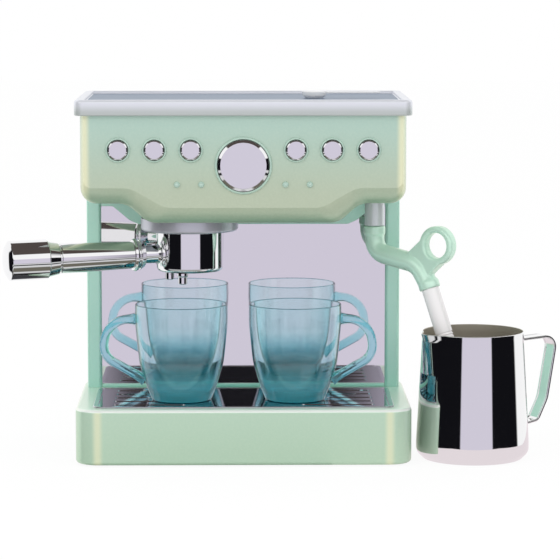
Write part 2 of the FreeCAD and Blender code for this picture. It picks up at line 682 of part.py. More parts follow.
def portafilter_cup():
    """The filter cup, with a rim that goes up into the ring and two bayonet lugs."""
    cup = body("portafilter_cup")
    reach = "cup_across / 2"
    turned(cup, (0, "cup_low"), (f"{reach} - 3", "cup_low"), (reach, "cup_low + 3", 3),
           (reach, "group_low + 5.9"), (f"{reach} - cup_wall", "group_low + 5.9"),
           (f"{reach} - cup_wall", "cup_low + cup_wall + 2"), (0, "cup_low + cup_wall + 2"))
    lugs = sketch(cup, "XY_Plane", "group_low + 2.7")
    out, inside = f"({reach} + 5)", f"({reach} - 0.6)"
    rounded(lugs, f"-{out}", f"-{inside}", -4.5, 4.5, 1)
    rounded(lugs, inside, out, -4.5, 4.5, 1)
    feature(cup, "Pad", lugs, 3)
    place(cup, "-group_off", behind("group_back"), 0)
    return cup


def portafilter_spouts():
    """Two open spouts side by side under the cup."""
    swing = math.radians(value("handle_swing"))
    spouts = []
    for n, side in enumerate(SIDES):
        spout = body(f"spout_{n}")
        reach, bore = "spout_across / 2", "spout_across / 2 - 1.2"
        top, low = "cup_low", "spout_low"
        turned(spout, (bore, f"{low} + 0.5"), (f"{bore} + 0.5", low), (reach, f"{low} + 0.3"),
               (reach, f"{top} - 2.5"), (f"{reach} + 0.7", f"{top} - 1.8"), (f"{reach} + 0.7", top), (bore, top))
        across, along = f"({side} * spout_apart / 2)", "spout_off"
        x = f"-group_off - {along} * {math.cos(swing):.5f} - {across} * {math.sin(swing):.5f}"
        y = f"group_back - {along} * {math.sin(swing):.5f} + {across} * {math.cos(swing):.5f}"
        place(spout, x, behind(y), 0)
        spouts.append(spout)
    return group("portafilter_spouts", spouts)


def along_handle(item):
    """Lay a turned piece along the handle, from the axis of the cup outwards."""
    swing, droop = value("handle_swing"), value("handle_droop")
    lay_down = FreeCAD.Rotation(Vector(0, 1, 0), -90 - droop)
    swing_round = FreeCAD.Rotation(UP, swing)
    item.Placement = FreeCAD.Placement(Vector(), swing_round * lay_down)
    bind(item, Placement__Base__x="-group_off", Placement__Base__y=behind("group_back"),
         Placement__Base__z="handle_high")
    return item


def portafilter_neck():
    """The boss on the cup and the neck that the handle is screwed to."""
    neck = body("neck_blank")
    stem = "neck_across / 2"
    turned(neck, (0, 18), (10.1, 18), (10.6, 18.5), (10.6, "boss_end - 0.8"), (9.8, "boss_end", 0.8),
           (f"{stem} + 1", "boss_end"), (stem, "boss_end + 1"), (stem, "neck_end"), (0, "neck_end"))
    along_handle(neck)
    core = cylinder("cup_core", "-group_off", behind("group_back"), "cup_low - 8", "cup_across", 50)
    return cut("portafilter_neck", neck, core)


def handle_pieces():
    """Collar, tapered rod and grip, one behind the other."""
    collar = body("handle_collar")
    reach, thin, thick, grip = "collar_across / 2", "rod_thin / 2", "rod_thick / 2", "grip_across / 2"
    turned(collar, (0, "neck_end"), (f"{reach} - 2.6", "neck_end"), (f"{reach} - 0.6", "neck_end + 3.4"),
           (f"{reach} - 1.6", "neck_end + 4"), (f"{reach} - 1.6", "neck_end + 4.8"),
           (f"{reach} - 0.4", "neck_end + 5.2"), (reach, "collar_end - 1.6"),
           (f"{reach} - 0.8", "collar_end"), (0, "collar_end"))
    rod = body("handle_rod")
    turned(rod, (0, "collar_end"), (thin, "collar_end"), (thick, "rod_end"), (f"{thick} - 0.8", "rod_end"),
           (f"{thick} - 0.8", "rod_end + 1.2"), (f"{thick} + 0.4", "rod_end + 1.2"),
           (f"{grip} - 1", "grip_start"), (0, "grip_start"))
    end = body("handle_grip")
    face = f"({grip} - 1)"
    dome = f"({face} * {face} + grip_dome * grip_dome) / (2 * grip_dome)"
    turned(end, (0, "grip_start"), (f"{grip} - 0.8", "grip_start"), (grip, "grip_start + 0.8", 0.8),
           (grip, "grip_end - 1"), (face, "grip_end", 1), (0, "grip_end + grip_dome", dome))
    return [along_handle(piece) for piece in (collar, rod, end)]


# Steam wand

def along_wand(item, reach=0, high=0, lean=0):
    """Place a piece in the wand's own plane, at a reach from the pivot."""
    yaw = FreeCAD.Rotation(UP, value("wand_yaw"))
    tip = FreeCAD.Rotation(Vector(0, 1, 0), lean)
    item.Placement = FreeCAD.Placement(Vector(), yaw * tip)
    turn = math.radians(value("wand_yaw"))
    bind(item, Placement__Base__x=f"wand_off + ({reach}) * {math.cos(turn):.5f}",
         Placement__Base__y=behind(f"wand_back + ({reach}) * {math.sin(turn):.5f}"), Placement__Base__z=high)
    return item


# Where the arm turns, as reach from the pivot and height
ARM_BEND_ONE = (0, 140.5)
ARM_BEND_TWO = (37, 134)
ARM_END = (46.5, 119.5)


def wand_collar():
    collar = body("wand_collar")
    reach, socket = "wand_collar_across / 2", "wand_pin_across / 2 + 0.35"
    turned(collar, (socket, "wand_collar_low"), (reach, "wand_collar_low"), (reach, "head_high - 2"),
           (f"{reach} + 1.2", "head_high - 1.2"), (f"{reach} + 1.2", "head_high - 0.2"),
           (0, "head_high - 0.2"),
           (0, "wand_collar_low + 12"), (socket, "wand_collar_low + 12"))
    place(collar, "wand_off", behind("wand_back"), 0)
    return collar


def bend(first, corner, last, radius):
    """The two ends of an arc that rounds a corner of a route."""
    before, after = (Vector(*p, 0) - Vector(*corner, 0) for p in (first, last))
    half = before.getAngle(after) / 2
    back = radius / math.tan(half)
    return [Vector(*corner, 0) + way.normalize() * back for way in (before, after)]


def wand_arm():
    """The bent arm with a finger loop, as one moulding."""
    arm = body("arm_pipe")
    route = sketch(arm, "XZ_Plane")
    top = (0, value("wand_collar_low") - 0.3)
    one = bend(top, ARM_BEND_ONE, ARM_BEND_TWO, 11)
    two = bend(ARM_BEND_ONE, ARM_BEND_TWO, ARM_END, 15)
    route.addGeometry([
        Part.LineSegment(Vector(*top, 0), one[0]), arc_between(one[0], one[1], 11),
        Part.LineSegment(one[1], two[0]), arc_between(two[0], two[1], -15),
        Part.LineSegment(two[1], Vector(*ARM_END, 0))])
    section = sketch(arm, "XY_Plane", "wand_collar_low - 0.3")
    circle(section, 0, 0, "arm_across")
    pipe = feature(arm, "AdditivePipe", section)
    pipe.Spine = route
    along_wand(arm)
    plate = body("arm_loop")
    drawn = sketch(plate, "XZ_Plane", "-loop_thick / 2")
    out = "loop_across / 2"
    outline(drawn, (f"loop_reach - {out} * 0.8", f"loop_high + {out} * 0.6"), (24, 135.5), (45, 124),
            (f"loop_reach + {out} * 0.92", f"loop_high - {out} * 0.4"))
    feature(plate, "Pad", drawn, "loop_thick")
    disc = sketch(plate, "XZ_Plane", "-loop_thick / 2")
    circle(disc, "loop_reach", "loop_high", "loop_across")
    feature(plate, "Pad", disc, "loop_thick")
    hole = sketch(plate, "XZ_Plane", "loop_thick / 2 + 1")
    circle(hole, "loop_reach", "loop_high", "loop_hole")
    feature(plate, "Pocket", hole, "loop_thick + 2")
    along_wand(plate)
    cuff = body("arm_cuff")
    turned(cuff, (0, -2.2), (7.4, -2.2), (7.4, 3), (6.2, 4.4), (0, 4.4))
    along_wand(cuff, ARM_END[0], ARM_END[1], -value("tube_lean"))
    ring = body("arm_ring")
    turned(ring, (0, "wand_collar_low - 6.5"), (7.1, "wand_collar_low - 6.5"), (7.6, "wand_collar_low - 6"),
           (7.6, "wand_collar_low - 0.8"), (7.1, "wand_collar_low - 0.3"), (0, "wand_collar_low - 0.3"))
    place(ring, "wand_off", behind("wand_back"), 0)
    pin = cylinder("arm_pin", "wand_off", behind("wand_back"), "wand_collar_low - 2", "wand_pin_across", 13)
    return fused("wand_arm", arm, plate, cuff, ring, pin)


def wand_tube():
    """The clear tube that dips into the jug, with ribs near its end."""
    tube = body("wand_tube")
    lean = math.radians(value("tube_lean"))
    length = (ARM_END[1] - value("tube_end_high")) / math.cos(lean)
    reach, bore, pitch = "tube_across / 2", "tube_bore / 2", 2.0
    profile = [(reach, -2.3), (bore, -2.3), (bore, -length), (f"{reach} - 0.5", -length)]
    for n in range(4):
        start = -length + pitch * n
        profile += [(f"{reach} - 0.5", start + 1.0), (reach, start + 1.3), (reach, start + 1.8)]
        profile += [(f"{reach} - 0.5", start + 2.0)] if n < 3 else []
    turned(tube, *profile)
    return along_wand(tube, ARM_END[0], ARM_END[1], -value("tube_lean"))


# Mugs

def mug(label, off, side):
    """A round clear mug with a loop handle, standing on the drip tray."""
    cup = body(label + "_cup")
    foot, belly, rim, tall = "mug_foot", "mug_belly", "mug_rim", "mug_height"
    turned(cup, (0, 1.2), (f"{foot} - 3", 1.2), (f"{foot} - 2.4", 0), (f"{foot} - 0.8", 0),
           (foot, 1, 1), (29.5, 26, 46), (belly, 54, 90), (rim, f"{tall} - 0.8", 80),
           (f"{rim} - 0.8", tall, 0.8), (f"{rim} - mug_wall", f"{tall} - 1.2", 1.4),
           (f"{belly} - mug_wall", 54, -80), (f"{29.5} - mug_wall", 27.5, -90),
           (f"{foot} - 3.2", 5.5, -44), (0, 4.6))
    handle = body(label + "_loop")
    route = sketch(handle, "XZ_Plane")
    high, shoulder, elbow, low = (28, 56), (51.5, 55.5), (54.5, 30), (23, 12.3)
    first, second = bend(high, shoulder, elbow, 17), bend(shoulder, elbow, low, 13)
    route.addGeometry([
        Part.LineSegment(Vector(*high, 0), first[0]), arc_between(first[0], first[1], -17),
        Part.LineSegment(first[1], second[0]), arc_between(second[0], second[1], -13),
        Part.LineSegment(second[1], Vector(*low, 0))])
    section = sketch(handle, "YZ_Plane", high[0])
    rounded(section, -3.8, 3.8, high[1] - 3.1, high[1] + 3.1, 2.7)
    pipe = feature(handle, "AdditivePipe", section)
    pipe.Spine = route
    if side < 0:
        handle.Placement = FreeCAD.Placement(Vector(), FreeCAD.Rotation(UP, 180))
    core = body(label + "_core")
    turned(core, (0, 2), (f"{foot} - 2.6", 2), (28.3, 26, 46), (f"{belly} - 1", 54, 90), (f"{belly} - 1", 75), (0, 75))
    grip = cut(label + "_handle", handle, core)
    whole = fused(label, cup, grip)
    place(whole, off, behind("mug_back"), "tray_top + 0.05")
    return whole


# Milk jug

def jug_body():
    """A thin steel jug with a pouring lip opposite its handle."""
    jug = body("jug_round")
    foot, rim, tall, skin = "jug_foot", "jug_rim", "jug_height", "jug_wall"
    turned(jug, (0, 0), (f"{foot} - 8", 0), (foot, 8, 8), (f"{rim} + 1.3", 60, 600), (rim, f"{tall} - 4"), (rim, f"{tall} - 0.6"),
           (f"{rim} - 0.5", tall, 0.8), (f"{rim} - {skin}", f"{tall} - 0.5", 0.8), (f"{rim} + 1.3 - {skin}", 60),
           (f"{foot} - {skin}", 8.4, -600), (f"{foot} - 7.8", "jug_wall", -7.6), (0, skin))
    lip_out, lip_in = jug_lip("lip_outside", 0), jug_lip("lip_inside", value(skin))
    bore = doc.addObject("Part::Cone", "jug_bore")
    bind(bore, Radius1=f"{foot} - 3", Radius2=f"{rim} - {skin}", Height=f"{tall} - 8.4")
    place(bore, 0, 0, 9)
    over = cylinder("jug_over", 0, 0, tall, "2 * jug_rim + 30", 20)
    spouted = cut("jug_spouted", fused("jug_with_lip", jug, lip_out), lip_in, bore, over)
    whole = doc.addObject("Part::Compound", "jug_body")
    whole.Label = "jug_body"
    whole.Links = [spouted]
    place(whole, "jug_off", behind("jug_back"), 0, (UP, value("jug_turned")))
    return whole


def jug_lip(label, skin):
    """A leaning cone that breaks out of the wall at the rim to make the lip."""
    lip = doc.addObject("Part::Cone", label)
    lip.Radius1, lip.Radius2, lip.Height = 1.2, 12.5 - skin, 30
    turn = FreeCAD.Rotation(Vector(0, 1, 0), -13)
    lip.Placement = FreeCAD.Placement(Vector(-21.4 + skin, 0, value("jug_height") - 27), turn)
    return lip


def jug_handle():
    """A flat bent strap, welded on below the rim and low on the wall."""
    strap = body("jug_strap")
    route = sketch(strap, "XZ_Plane")
    stops = [(36.0, 80.5), (66.3, 82), (58.2, 38), (50.5, 23), (39.05, 21)]
    top, bottom = bend(stops[0], stops[1], stops[2], 8), bend(stops[1], stops[2], stops[3], 20)
    foot = bend(stops[2], stops[3], stops[4], 4)
    route.addGeometry([
        Part.LineSegment(Vector(*stops[0], 0), top[0]), arc_between(top[0], top[1], -8),
        Part.LineSegment(top[1], bottom[0]), arc_between(bottom[0], bottom[1], -20),
        Part.LineSegment(bottom[1], foot[0]), arc_between(foot[0], foot[1], -4),
        Part.LineSegment(foot[1], Vector(*stops[4], 0))])
    section = sketch(strap, "YZ_Plane", stops[0][0])
    rounded(section, -6.5, 6.5, stops[0][1] - 0.9, stops[0][1] + 0.9, 0.7)
    pipe = feature(strap, "AdditivePipe", section)
    pipe.Spine = route
    core = doc.addObject("Part::Cone", "jug_handle_core")
    bind(core, Radius1="jug_foot + 0.6", Radius2="jug_rim + 0.2", Height="jug_height")
    trimmed = cut("strap_trimmed", strap, core)
    whole = doc.addObject("Part::Compound", "jug_handle")
    whole.Label = "jug_handle"
    whole.Links = [trimmed]
    place(whole, "jug_off", behind("jug_back"), 0, (UP, value("jug_turned")))
    return whole


# Spoon

def spoon():
    """A clear measuring spoon, with a hollow bowl and a flat handle."""
    bowl = body("spoon_bowl")
    turned(bowl, (0, 0), (6, 0), (8.2, 2, 3), (8.8, 4.6), (7.8, 4.6), (7.2, 2.4), (5.6, 1, -2.6), (0, 1))
    handle = body("spoon_handle")
    plan = sketch(handle, "XY_Plane", 3.4)
    outline(plan, (8.0, -1.8), ("spoon_length - 12", -2.6), ("spoon_length - 12", 2.6, 2.7), (8.0, 1.8))
    feature(handle, "Pad", plan, 1.2)
    whole = fused("spoon", bowl, handle)
    place(whole, "spoon_off - spoon_length / 2 + 9", behind("spoon_back"), "lid_top - lid_recess + 0.05")
    return whole


def build():
    blank = head_blank()
    base_places = [(i * BASE_SCREW[0], j * BASE_SCREW[1]) for i in SIDES for j in SIDES]
    nodes = [
        base_shell(), base_plate(), battery_cover(), batteries(), battery_contacts(), rubber_feet(),
        screws("battery_cover_screw", [("cell_length / 2 + 0.4", behind("battery_back"))], 2.2),
        screws("base_screws", base_places, 8),
        drip_tray(), column("column_left", -1, blank), column("column_right", 1, blank),
        mirror_panel(blank), mirror_surround(blank), back_cover(blank), back_screws(), speaker(), wire_loom(),
        head_shell(blank), indicator_domes(), lid_tray(), circuit_board(), switches(),
        group_ring(blank), portafilter_cup(), portafilter_spouts(), portafilter_neck(),
        wand_collar(), wand_arm(), wand_tube(),
        mug("mug_left", "mug_off_left", -1), mug("mug_right", "mug_off_right", 1),
        jug_body(), jug_handle(), spoon(),
    ]
    return nodes + handle_pieces() + buttons()


nodes = build()
doc.recompute()
faults = [o.Name for o in doc.Objects if "Invalid" in o.State or "Error" in o.State]
print("faulty objects:", faults)
for node in nodes:
    shape = node.Shape
    good = not shape.isNull() and shape.isValid() and shape.Solids
    print(f"{node.Label:22s} {'ok' if good else 'BAD'} solids {len(shape.Solids)} volume {shape.Volume:.0f}")
    if not good or faults:
        continue
    shape.exportStep(f"parts/{node.Label}.step")
print(len(nodes), "nodes")
if faults:
    raise SystemExit("some objects failed")
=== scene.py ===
# %% [markdown]
# # A toy coffee maker, dressed for its photograph
# The imported model comes in first as a fixed frame. Everything that is made below sits on it, in
# metres, so nothing is fitted by eye.

import math

import bmesh
import bpy
from mathutils import Matrix, Vector


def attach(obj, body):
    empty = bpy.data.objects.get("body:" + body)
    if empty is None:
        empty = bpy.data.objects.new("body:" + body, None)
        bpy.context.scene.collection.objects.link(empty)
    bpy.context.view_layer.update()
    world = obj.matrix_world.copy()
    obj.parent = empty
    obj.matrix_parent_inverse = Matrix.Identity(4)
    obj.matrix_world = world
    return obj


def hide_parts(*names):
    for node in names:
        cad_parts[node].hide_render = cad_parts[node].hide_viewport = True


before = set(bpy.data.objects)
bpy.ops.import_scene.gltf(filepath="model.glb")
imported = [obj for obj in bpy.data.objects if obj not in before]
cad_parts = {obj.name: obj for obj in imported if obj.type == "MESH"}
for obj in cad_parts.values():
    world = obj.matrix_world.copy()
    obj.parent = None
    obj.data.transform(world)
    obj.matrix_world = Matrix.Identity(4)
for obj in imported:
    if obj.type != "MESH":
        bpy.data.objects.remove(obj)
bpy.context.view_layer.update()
print("nodes in the frame:", len(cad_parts))

# %% [markdown]
# Sizes are easier to read in millimetres, measured the way a maker would: across from the middle
# of the machine, back from the front of its base, and up from the table.

# %% Units and the places that several pieces share
MM = 0.001
BASE_DEPTH = 140
SIDES, HANDS = (-1, 1), ("left", "right")
FIT = 0.05


def at(across, back, up):
    """A point in metres from a place in the machine's own measures."""
    return Vector((across, back - BASE_DEPTH / 2, up)) * MM


GROUP = at(-37.2, 50, 0)
WAND = at(91.6, 67, 0)
JUG = at(158.5, 36, 0)
print("group", GROUP[:2], "wand", WAND[:2], "jug", JUG[:2])

# %% [markdown]
# The photograph was taken from nearly two metres away with a long lens, a little above the
# machine. The edges that run back from the front of the lid and tray meet at one vanishing
# point, which gives the tilt and the turn of the camera.

# %% Camera
CAMERA_ACROSS, CAMERA_BACK, CAMERA_UP = -2.2, -1851, 342.7
TILT_DOWN, TURN_RIGHT = 6.61, 0.83
LENS = 177.4

camera_data = bpy.data.cameras.new("photo_camera")
camera_data.lens = LENS
camera_data.sensor_width = 36
camera_data.clip_end = 30
camera = bpy.data.objects.new("photo_camera", camera_data)
camera.location = at(CAMERA_ACROSS, CAMERA_BACK, CAMERA_UP)
camera.rotation_euler = (math.radians(90 - TILT_DOWN), 0, math.radians(-TURN_RIGHT))
bpy.context.scene.collection.objects.link(camera)
bpy.context.scene.camera = camera
bpy.context.scene.view_settings.view_transform = "Standard"
print("camera at", tuple(round(v, 3) for v in camera.location))

# %% [markdown]
# Chrome shows the room, not itself, so the studio is part of every bright surface. Polished
# parts see a lilac-grey wall behind the camera, a black flag on either side of it, white light
# boxes beyond the flags and above the camera, and a dim ceiling. A world that is only looked up
# by direction can hold all of that, with soft borders between the bands.

# %% Small helpers for node trees
def link_value(tree, socket, source):
    """Give a socket a number, a colour or another node's output."""
    if isinstance(source, bpy.types.NodeSocket):
        tree.links.new(source, socket)
    else:
        socket.default_value = source


def new_node(tree, kind, **inputs):
    """A node of this kind, with a number, a colour or a link in each of the inputs that are named."""
    node = tree.nodes.new("ShaderNode" + kind)
    for label, source in inputs.items():
        link_value(tree, node.inputs[label.replace("_", " ")], source)
    return node


def maths(tree, operation, *sources):
    node = new_node(tree, "Math")
    node.operation = operation
    for socket, source in zip(node.inputs, sources):
        link_value(tree, socket, source)
    return node.outputs[0]


def times(tree, first, *others):
    for other in others:
        first = maths(tree, "MULTIPLY", first, other)
    return first


def parts_of(tree, space):
    """The three numbers of a direction ("Generated" in a world) or a place ("Object")."""
    return new_node(tree, "SeparateXYZ", Vector=new_node(tree, "TexCoord").outputs[space]).outputs


def soft_step(tree, source, low, high):
    """0 below low, 1 above high, with a smooth change between them."""
    node = new_node(tree, "MapRange", Value=source, From_Min=low, From_Max=high)
    node.interpolation_type = "SMOOTHSTEP"
    return node.outputs["Result"]


def blended(tree, amount, first, second):
    """A colour between two others."""
    node = new_node(tree, "Mix")
    node.data_type = "RGBA"
    link_value(tree, node.inputs["Factor"], amount)
    for socket, source in ((node.inputs["A"], first), (node.inputs["B"], second)):
        link_value(tree, socket, source)
    return node.outputs["Result"]


def ramp(tree, source, *stops):
    """A colour that changes along a value between 0 and 1."""
    node = new_node(tree, "ValToRGB", Fac=source)
    marks = node.color_ramp.elements
    while len(marks) < len(stops):
        marks.new(0.5)
    for mark, (where, colour) in zip(marks, stops):
        mark.position = where
        mark.color = (*colour, 1)
    return node.outputs["Color"]


def mixed_shader(tree, amount, first, second):
    """One shader where the amount is 0 and the other where it is 1."""
    node = new_node(tree, "MixShader")
    for socket, source in zip(node.inputs, (amount, first, second)):
        tree.links.new(source, socket)
    return node.outputs[0]

# %% [markdown]
# The bands are set by angle, as a photographer would place flags and light boxes round a table:
# sideways from straight out of the front, and up from level. Mixing them one over the other keeps
# the order in which they cover each other.

# %% The studio that polished surfaces see
LILAC = (0.72, 0.68, 0.79, 1)
BLACK = (0.006, 0.006, 0.008, 1)
WHITE = (1.05, 1.05, 1.05, 1)
CEILING = (0.086, 0.07, 0.065, 1)
FLOOR_BEHIND = (0.05, 0.05, 0.055, 1)
OLIVE, DARK, PALE = (0.17, 0.16, 0.13), (0.006, 0.006, 0.008), (0.75, 0.75, 0.76)
TABLE_BANDS = [(-69, (0.03, 0.03, 0.03)), (-66, PALE), (-61, PALE), (-57, OLIVE), (-37, OLIVE), (-33, PALE),
               (-26, PALE), (-23, DARK), (-20, DARK), (-18, PALE), (-14.5, PALE), (-12.5, DARK)]
LENS_SPOTS = [(30, 2, 2, 0.34), (2.7, 0.6, 3, 0.75), (2.2, 0.5, 3, 0.95)]


def below_the_lens(tree, up):
    """The bands that face down onto the table in front of the machine."""
    stops = [((math.sin(math.radians(angle)) + 1) / 2, colour) for angle, colour in TABLE_BANDS]
    return ramp(tree, maths(tree, "MULTIPLY_ADD", up, 0.5, 0.5), *stops)


def studio_bands(tree):
    """The studio as a colour by direction: the side angle counts from straight out of the front."""
    x, y, z = parts_of(tree, "Generated")

    def between(source, low, high, soft):
        rising = soft_step(tree, source, math.radians(low - soft), math.radians(low + soft))
        falling = soft_step(tree, source, math.radians(high + soft), math.radians(high - soft))
        return times(tree, rising, falling)

    def above(low, high):
        return soft_step(tree, z, math.sin(math.radians(low)), math.sin(math.radians(high)))

    side = maths(tree, "ARCTAN2", x, times(tree, y, -1))
    azimuth = maths(tree, "ABSOLUTE", side)
    beyond = soft_step(tree, azimuth, math.radians(98), math.radians(104))
    colour = blended(tree, between(side, -29, 37, 1.5), BLACK, LILAC)
    table_side = times(tree, between(azimuth, -10, 80, 3), above(-12, -13))
    colour = blended(tree, table_side, colour, below_the_lens(tree, z))
    colour = blended(tree, beyond, colour, WHITE)
    colour = blended(tree, times(tree, between(azimuth, -10, 65, 5), above(10, 13)), colour, WHITE)
    for wide, soft, low, strength in LENS_SPOTS:
        tall = times(tree, above(low, low + 2), soft_step(tree, z, 0.2, 0.18))
        spot = times(tree, between(azimuth, -10, wide, soft), tall)
        colour = blended(tree, times(tree, spot, strength), colour, BLACK)
    ceiling_starts = maths(tree, "MULTIPLY_ADD", beyond, 0.2, 0.59)
    over = soft_step(tree, maths(tree, "SUBTRACT", z, ceiling_starts), 0, 0.04)
    colour = blended(tree, over, colour, CEILING)
    below = times(tree, beyond, soft_step(tree, z, -0.7, -0.85))
    return blended(tree, below, colour, FLOOR_BEHIND)

# %% [markdown]
# One world serves three kinds of look. Matt surfaces are lit by an even white. Chrome and clear
# plastic look up the studio. The camera sees plain white behind the machine, and so does light
# that has passed through clear plastic on its way to the back.

# %% World
PLAIN_LIGHT = (0.86, 0.86, 0.86, 1)


def studio_world():
    world = bpy.data.worlds.new("studio")
    bpy.context.scene.world = world
    world.use_nodes = True
    tree = world.node_tree
    tree.nodes.clear()
    rays = new_node(tree, "LightPath").outputs
    bent = maths(tree, "MAXIMUM", rays["Is Glossy Ray"], rays["Is Transmission Ray"])
    lit = blended(tree, bent, PLAIN_LIGHT, studio_bands(tree))
    to_the_back = times(tree, rays["Is Transmission Ray"],
                        soft_step(tree, parts_of(tree, "Generated")[1], -0.05, 0.05))
    seen = maths(tree, "MAXIMUM", rays["Is Camera Ray"], to_the_back)
    background = new_node(tree, "Background", Color=blended(tree, seen, lit, (1, 1, 1, 1)))
    new_node(tree, "OutputWorld", Surface=background.outputs[0])
    return tree


print("studio made with", len(studio_world().nodes), "nodes")

# %% [markdown]
# The table is a white sheet without an edge. A large part of what the camera sees of it glows at
# exactly white and the rest is lit, so it keeps a faint shadow under the machine. Polished parts
# don't see it, because in the photograph they show the dark flags right down to their feet.

# %% The table
def flat_sheet(name, left, right, front, back, up):
    """A level rectangle with a material that is still without nodes."""
    mesh = bpy.data.meshes.new(name)
    mesh.from_pydata([(left, front, up), (right, front, up), (right, back, up), (left, back, up)],
                     [], [(0, 1, 2, 3)])
    sheet = bpy.data.objects.new(name, mesh)
    bpy.context.scene.collection.objects.link(sheet)
    finish = bpy.data.materials.new(name + "_white")
    finish.use_nodes = True
    finish.node_tree.nodes.clear()
    mesh.materials.append(finish)
    return sheet, finish.node_tree


def white_table():
    table, tree = flat_sheet("table", -6, 6, -6, 6, 0)
    rays = new_node(tree, "LightPath").outputs
    lit_part = new_node(tree, "BsdfDiffuse", Color=(0.9, 0.9, 0.9, 1))
    in_front = times(tree, rays["Is Transmission Ray"],
                     soft_step(tree, parts_of(tree, "Object")[1], -0.1, -0.14))
    glow = new_node(tree, "Emission", Strength=1.02, Color=blended(tree, in_front, (1, 1, 1, 1), LILAC))
    seen = maths(tree, "MAXIMUM", rays["Is Camera Ray"], rays["Is Transmission Ray"])
    mixed = mixed_shader(tree, times(tree, seen, 0.9), lit_part.outputs[0], glow.outputs[0])
    new_node(tree, "OutputMaterial", Surface=mixed)
    table.visible_glossy = False


white_table()
print("staged: a table")

# %% [markdown]
# Beside the machine, under the jug, a sheet of white paper lies on the table. Only polished steel
# sees it: it lights the lowest part of the jug's wall, where the dark flags would otherwise reach.

# %% Paper under the jug
def paper():
    sheet, tree = flat_sheet("paper", 0.06, 0.275, -0.15, 0.12, 0.0004)
    glow = new_node(tree, "Emission", Color=(0.88, 0.80, 0.83, 1))
    new_node(tree, "OutputMaterial", Surface=glow.outputs[0])
    for kind in ("camera", "diffuse", "transmission", "shadow"):
        setattr(sheet, f"visible_{kind}", False)


paper()
print("staged: a sheet of paper")

# %% [markdown]
# Two large lamps give the matt mouldings a light side and a soft side. They are weak beside the
# even light of the room, and polished parts don't see them, so they add no square glints.

# %% Lamps
def soft_lamp(name, place, watts):
    """A large square lamp that aims at the middle of the machine."""
    data = bpy.data.lights.new(name, "AREA")
    data.size = 1.0
    data.energy = watts
    lamp = bpy.data.objects.new(name, data)
    lamp.location = place
    lamp.rotation_euler = (Vector((0, 0, 0.12)) - Vector(place)).to_track_quat("-Z", "Y").to_euler()
    lamp.visible_glossy = False
    lamp.visible_transmission = False
    bpy.context.scene.collection.objects.link(lamp)


soft_lamp("key_lamp", (-0.9, -1.3, 1.3), 6)
soft_lamp("fill_lamp", (1.2, -1.2, 0.8), 3)
print("lamps:", len(bpy.data.lights))

# %% [markdown]
# Materials come next. Each is made of nodes that look up a place in space, so that it also works
# on the carried-over CAD nodes, which have no unwrapped surface.

# %% Material helpers
def new_finish(name, **settings):
    """A material whose Principled shader has these settings, its tree and the shader."""
    finish = bpy.data.materials.new(name)
    finish.use_nodes = True
    shader = finish.node_tree.nodes["Principled BSDF"]
    for label, value in settings.items():
        shader.inputs[label.replace("_", " ")].default_value = value
    return finish, finish.node_tree, shader


def cloudy(tree, scale, detail):
    """A smooth noise over the machine's own space."""
    place = new_node(tree, "TexCoord").outputs["Object"]
    return new_node(tree, "TexNoise", Scale=scale, Detail=detail, Vector=place).outputs["Fac"]


def relief(tree, shader, bumps, distance, strength):
    """Bump on a shader, from a height between 0 and 1."""
    bump = new_node(tree, "Bump", Strength=strength, Distance=distance, Height=bumps)
    tree.links.new(bump.outputs["Normal"], shader.inputs["Normal"])


print("helpers for finishes: new_finish, cloudy, relief")

# %% [markdown]
# The body is a pearl mint: a pale green plastic with fine mica in it. Mica gives a broad soft
# gloss that turns pale yellow where it catches the side lights, so the specular is tinted. A
# painted highlight of pale yellow follows each side edge. On the head the green runs from a cool
# tone at the top to a warmer one low down, which is a painted pearl sheen, and painted shade makes
# it deeper underneath. On the base, painted light makes the surfaces that face up lighter, with a
# painted highlight on the rounded top edge.

# %% Pearl mint
# Painted colours: a yellow sheen for the side edges is a painted highlight, a deep green for faces that turn
# down is painted shade, and the lit greens for faces that turn up are painted light. The mica is the
# plastic's own fleck.
PAINTED_YELLOW_SHEEN, PAINTED_SHADE_GREEN = (0.90, 0.89, 0.60, 1), (0.20, 0.40, 0.27, 1)
LIT_GREEN, LIT_EDGE, MICA = (0.80, 1.0, 0.90, 1), (0.98, 1.0, 0.98, 1), (0.92, 0.95, 0.80, 1)
PAINTED_SHEEN_SOFT = 4


def painted_side_sheen(tree, colour, x, inner, outer, strength):
    """A painted pale yellow highlight on both sides, between two distances from the middle."""
    across = maths(tree, "ABSOLUTE", x)
    painted_sheen = times(tree, soft_step(tree, across, inner * MM, (inner + PAINTED_SHEEN_SOFT) * MM),
                   soft_step(tree, across, outer * MM, (outer - PAINTED_SHEEN_SOFT) * MM))
    return blended(tree, times(tree, painted_sheen, strength), colour, PAINTED_YELLOW_SHEEN)


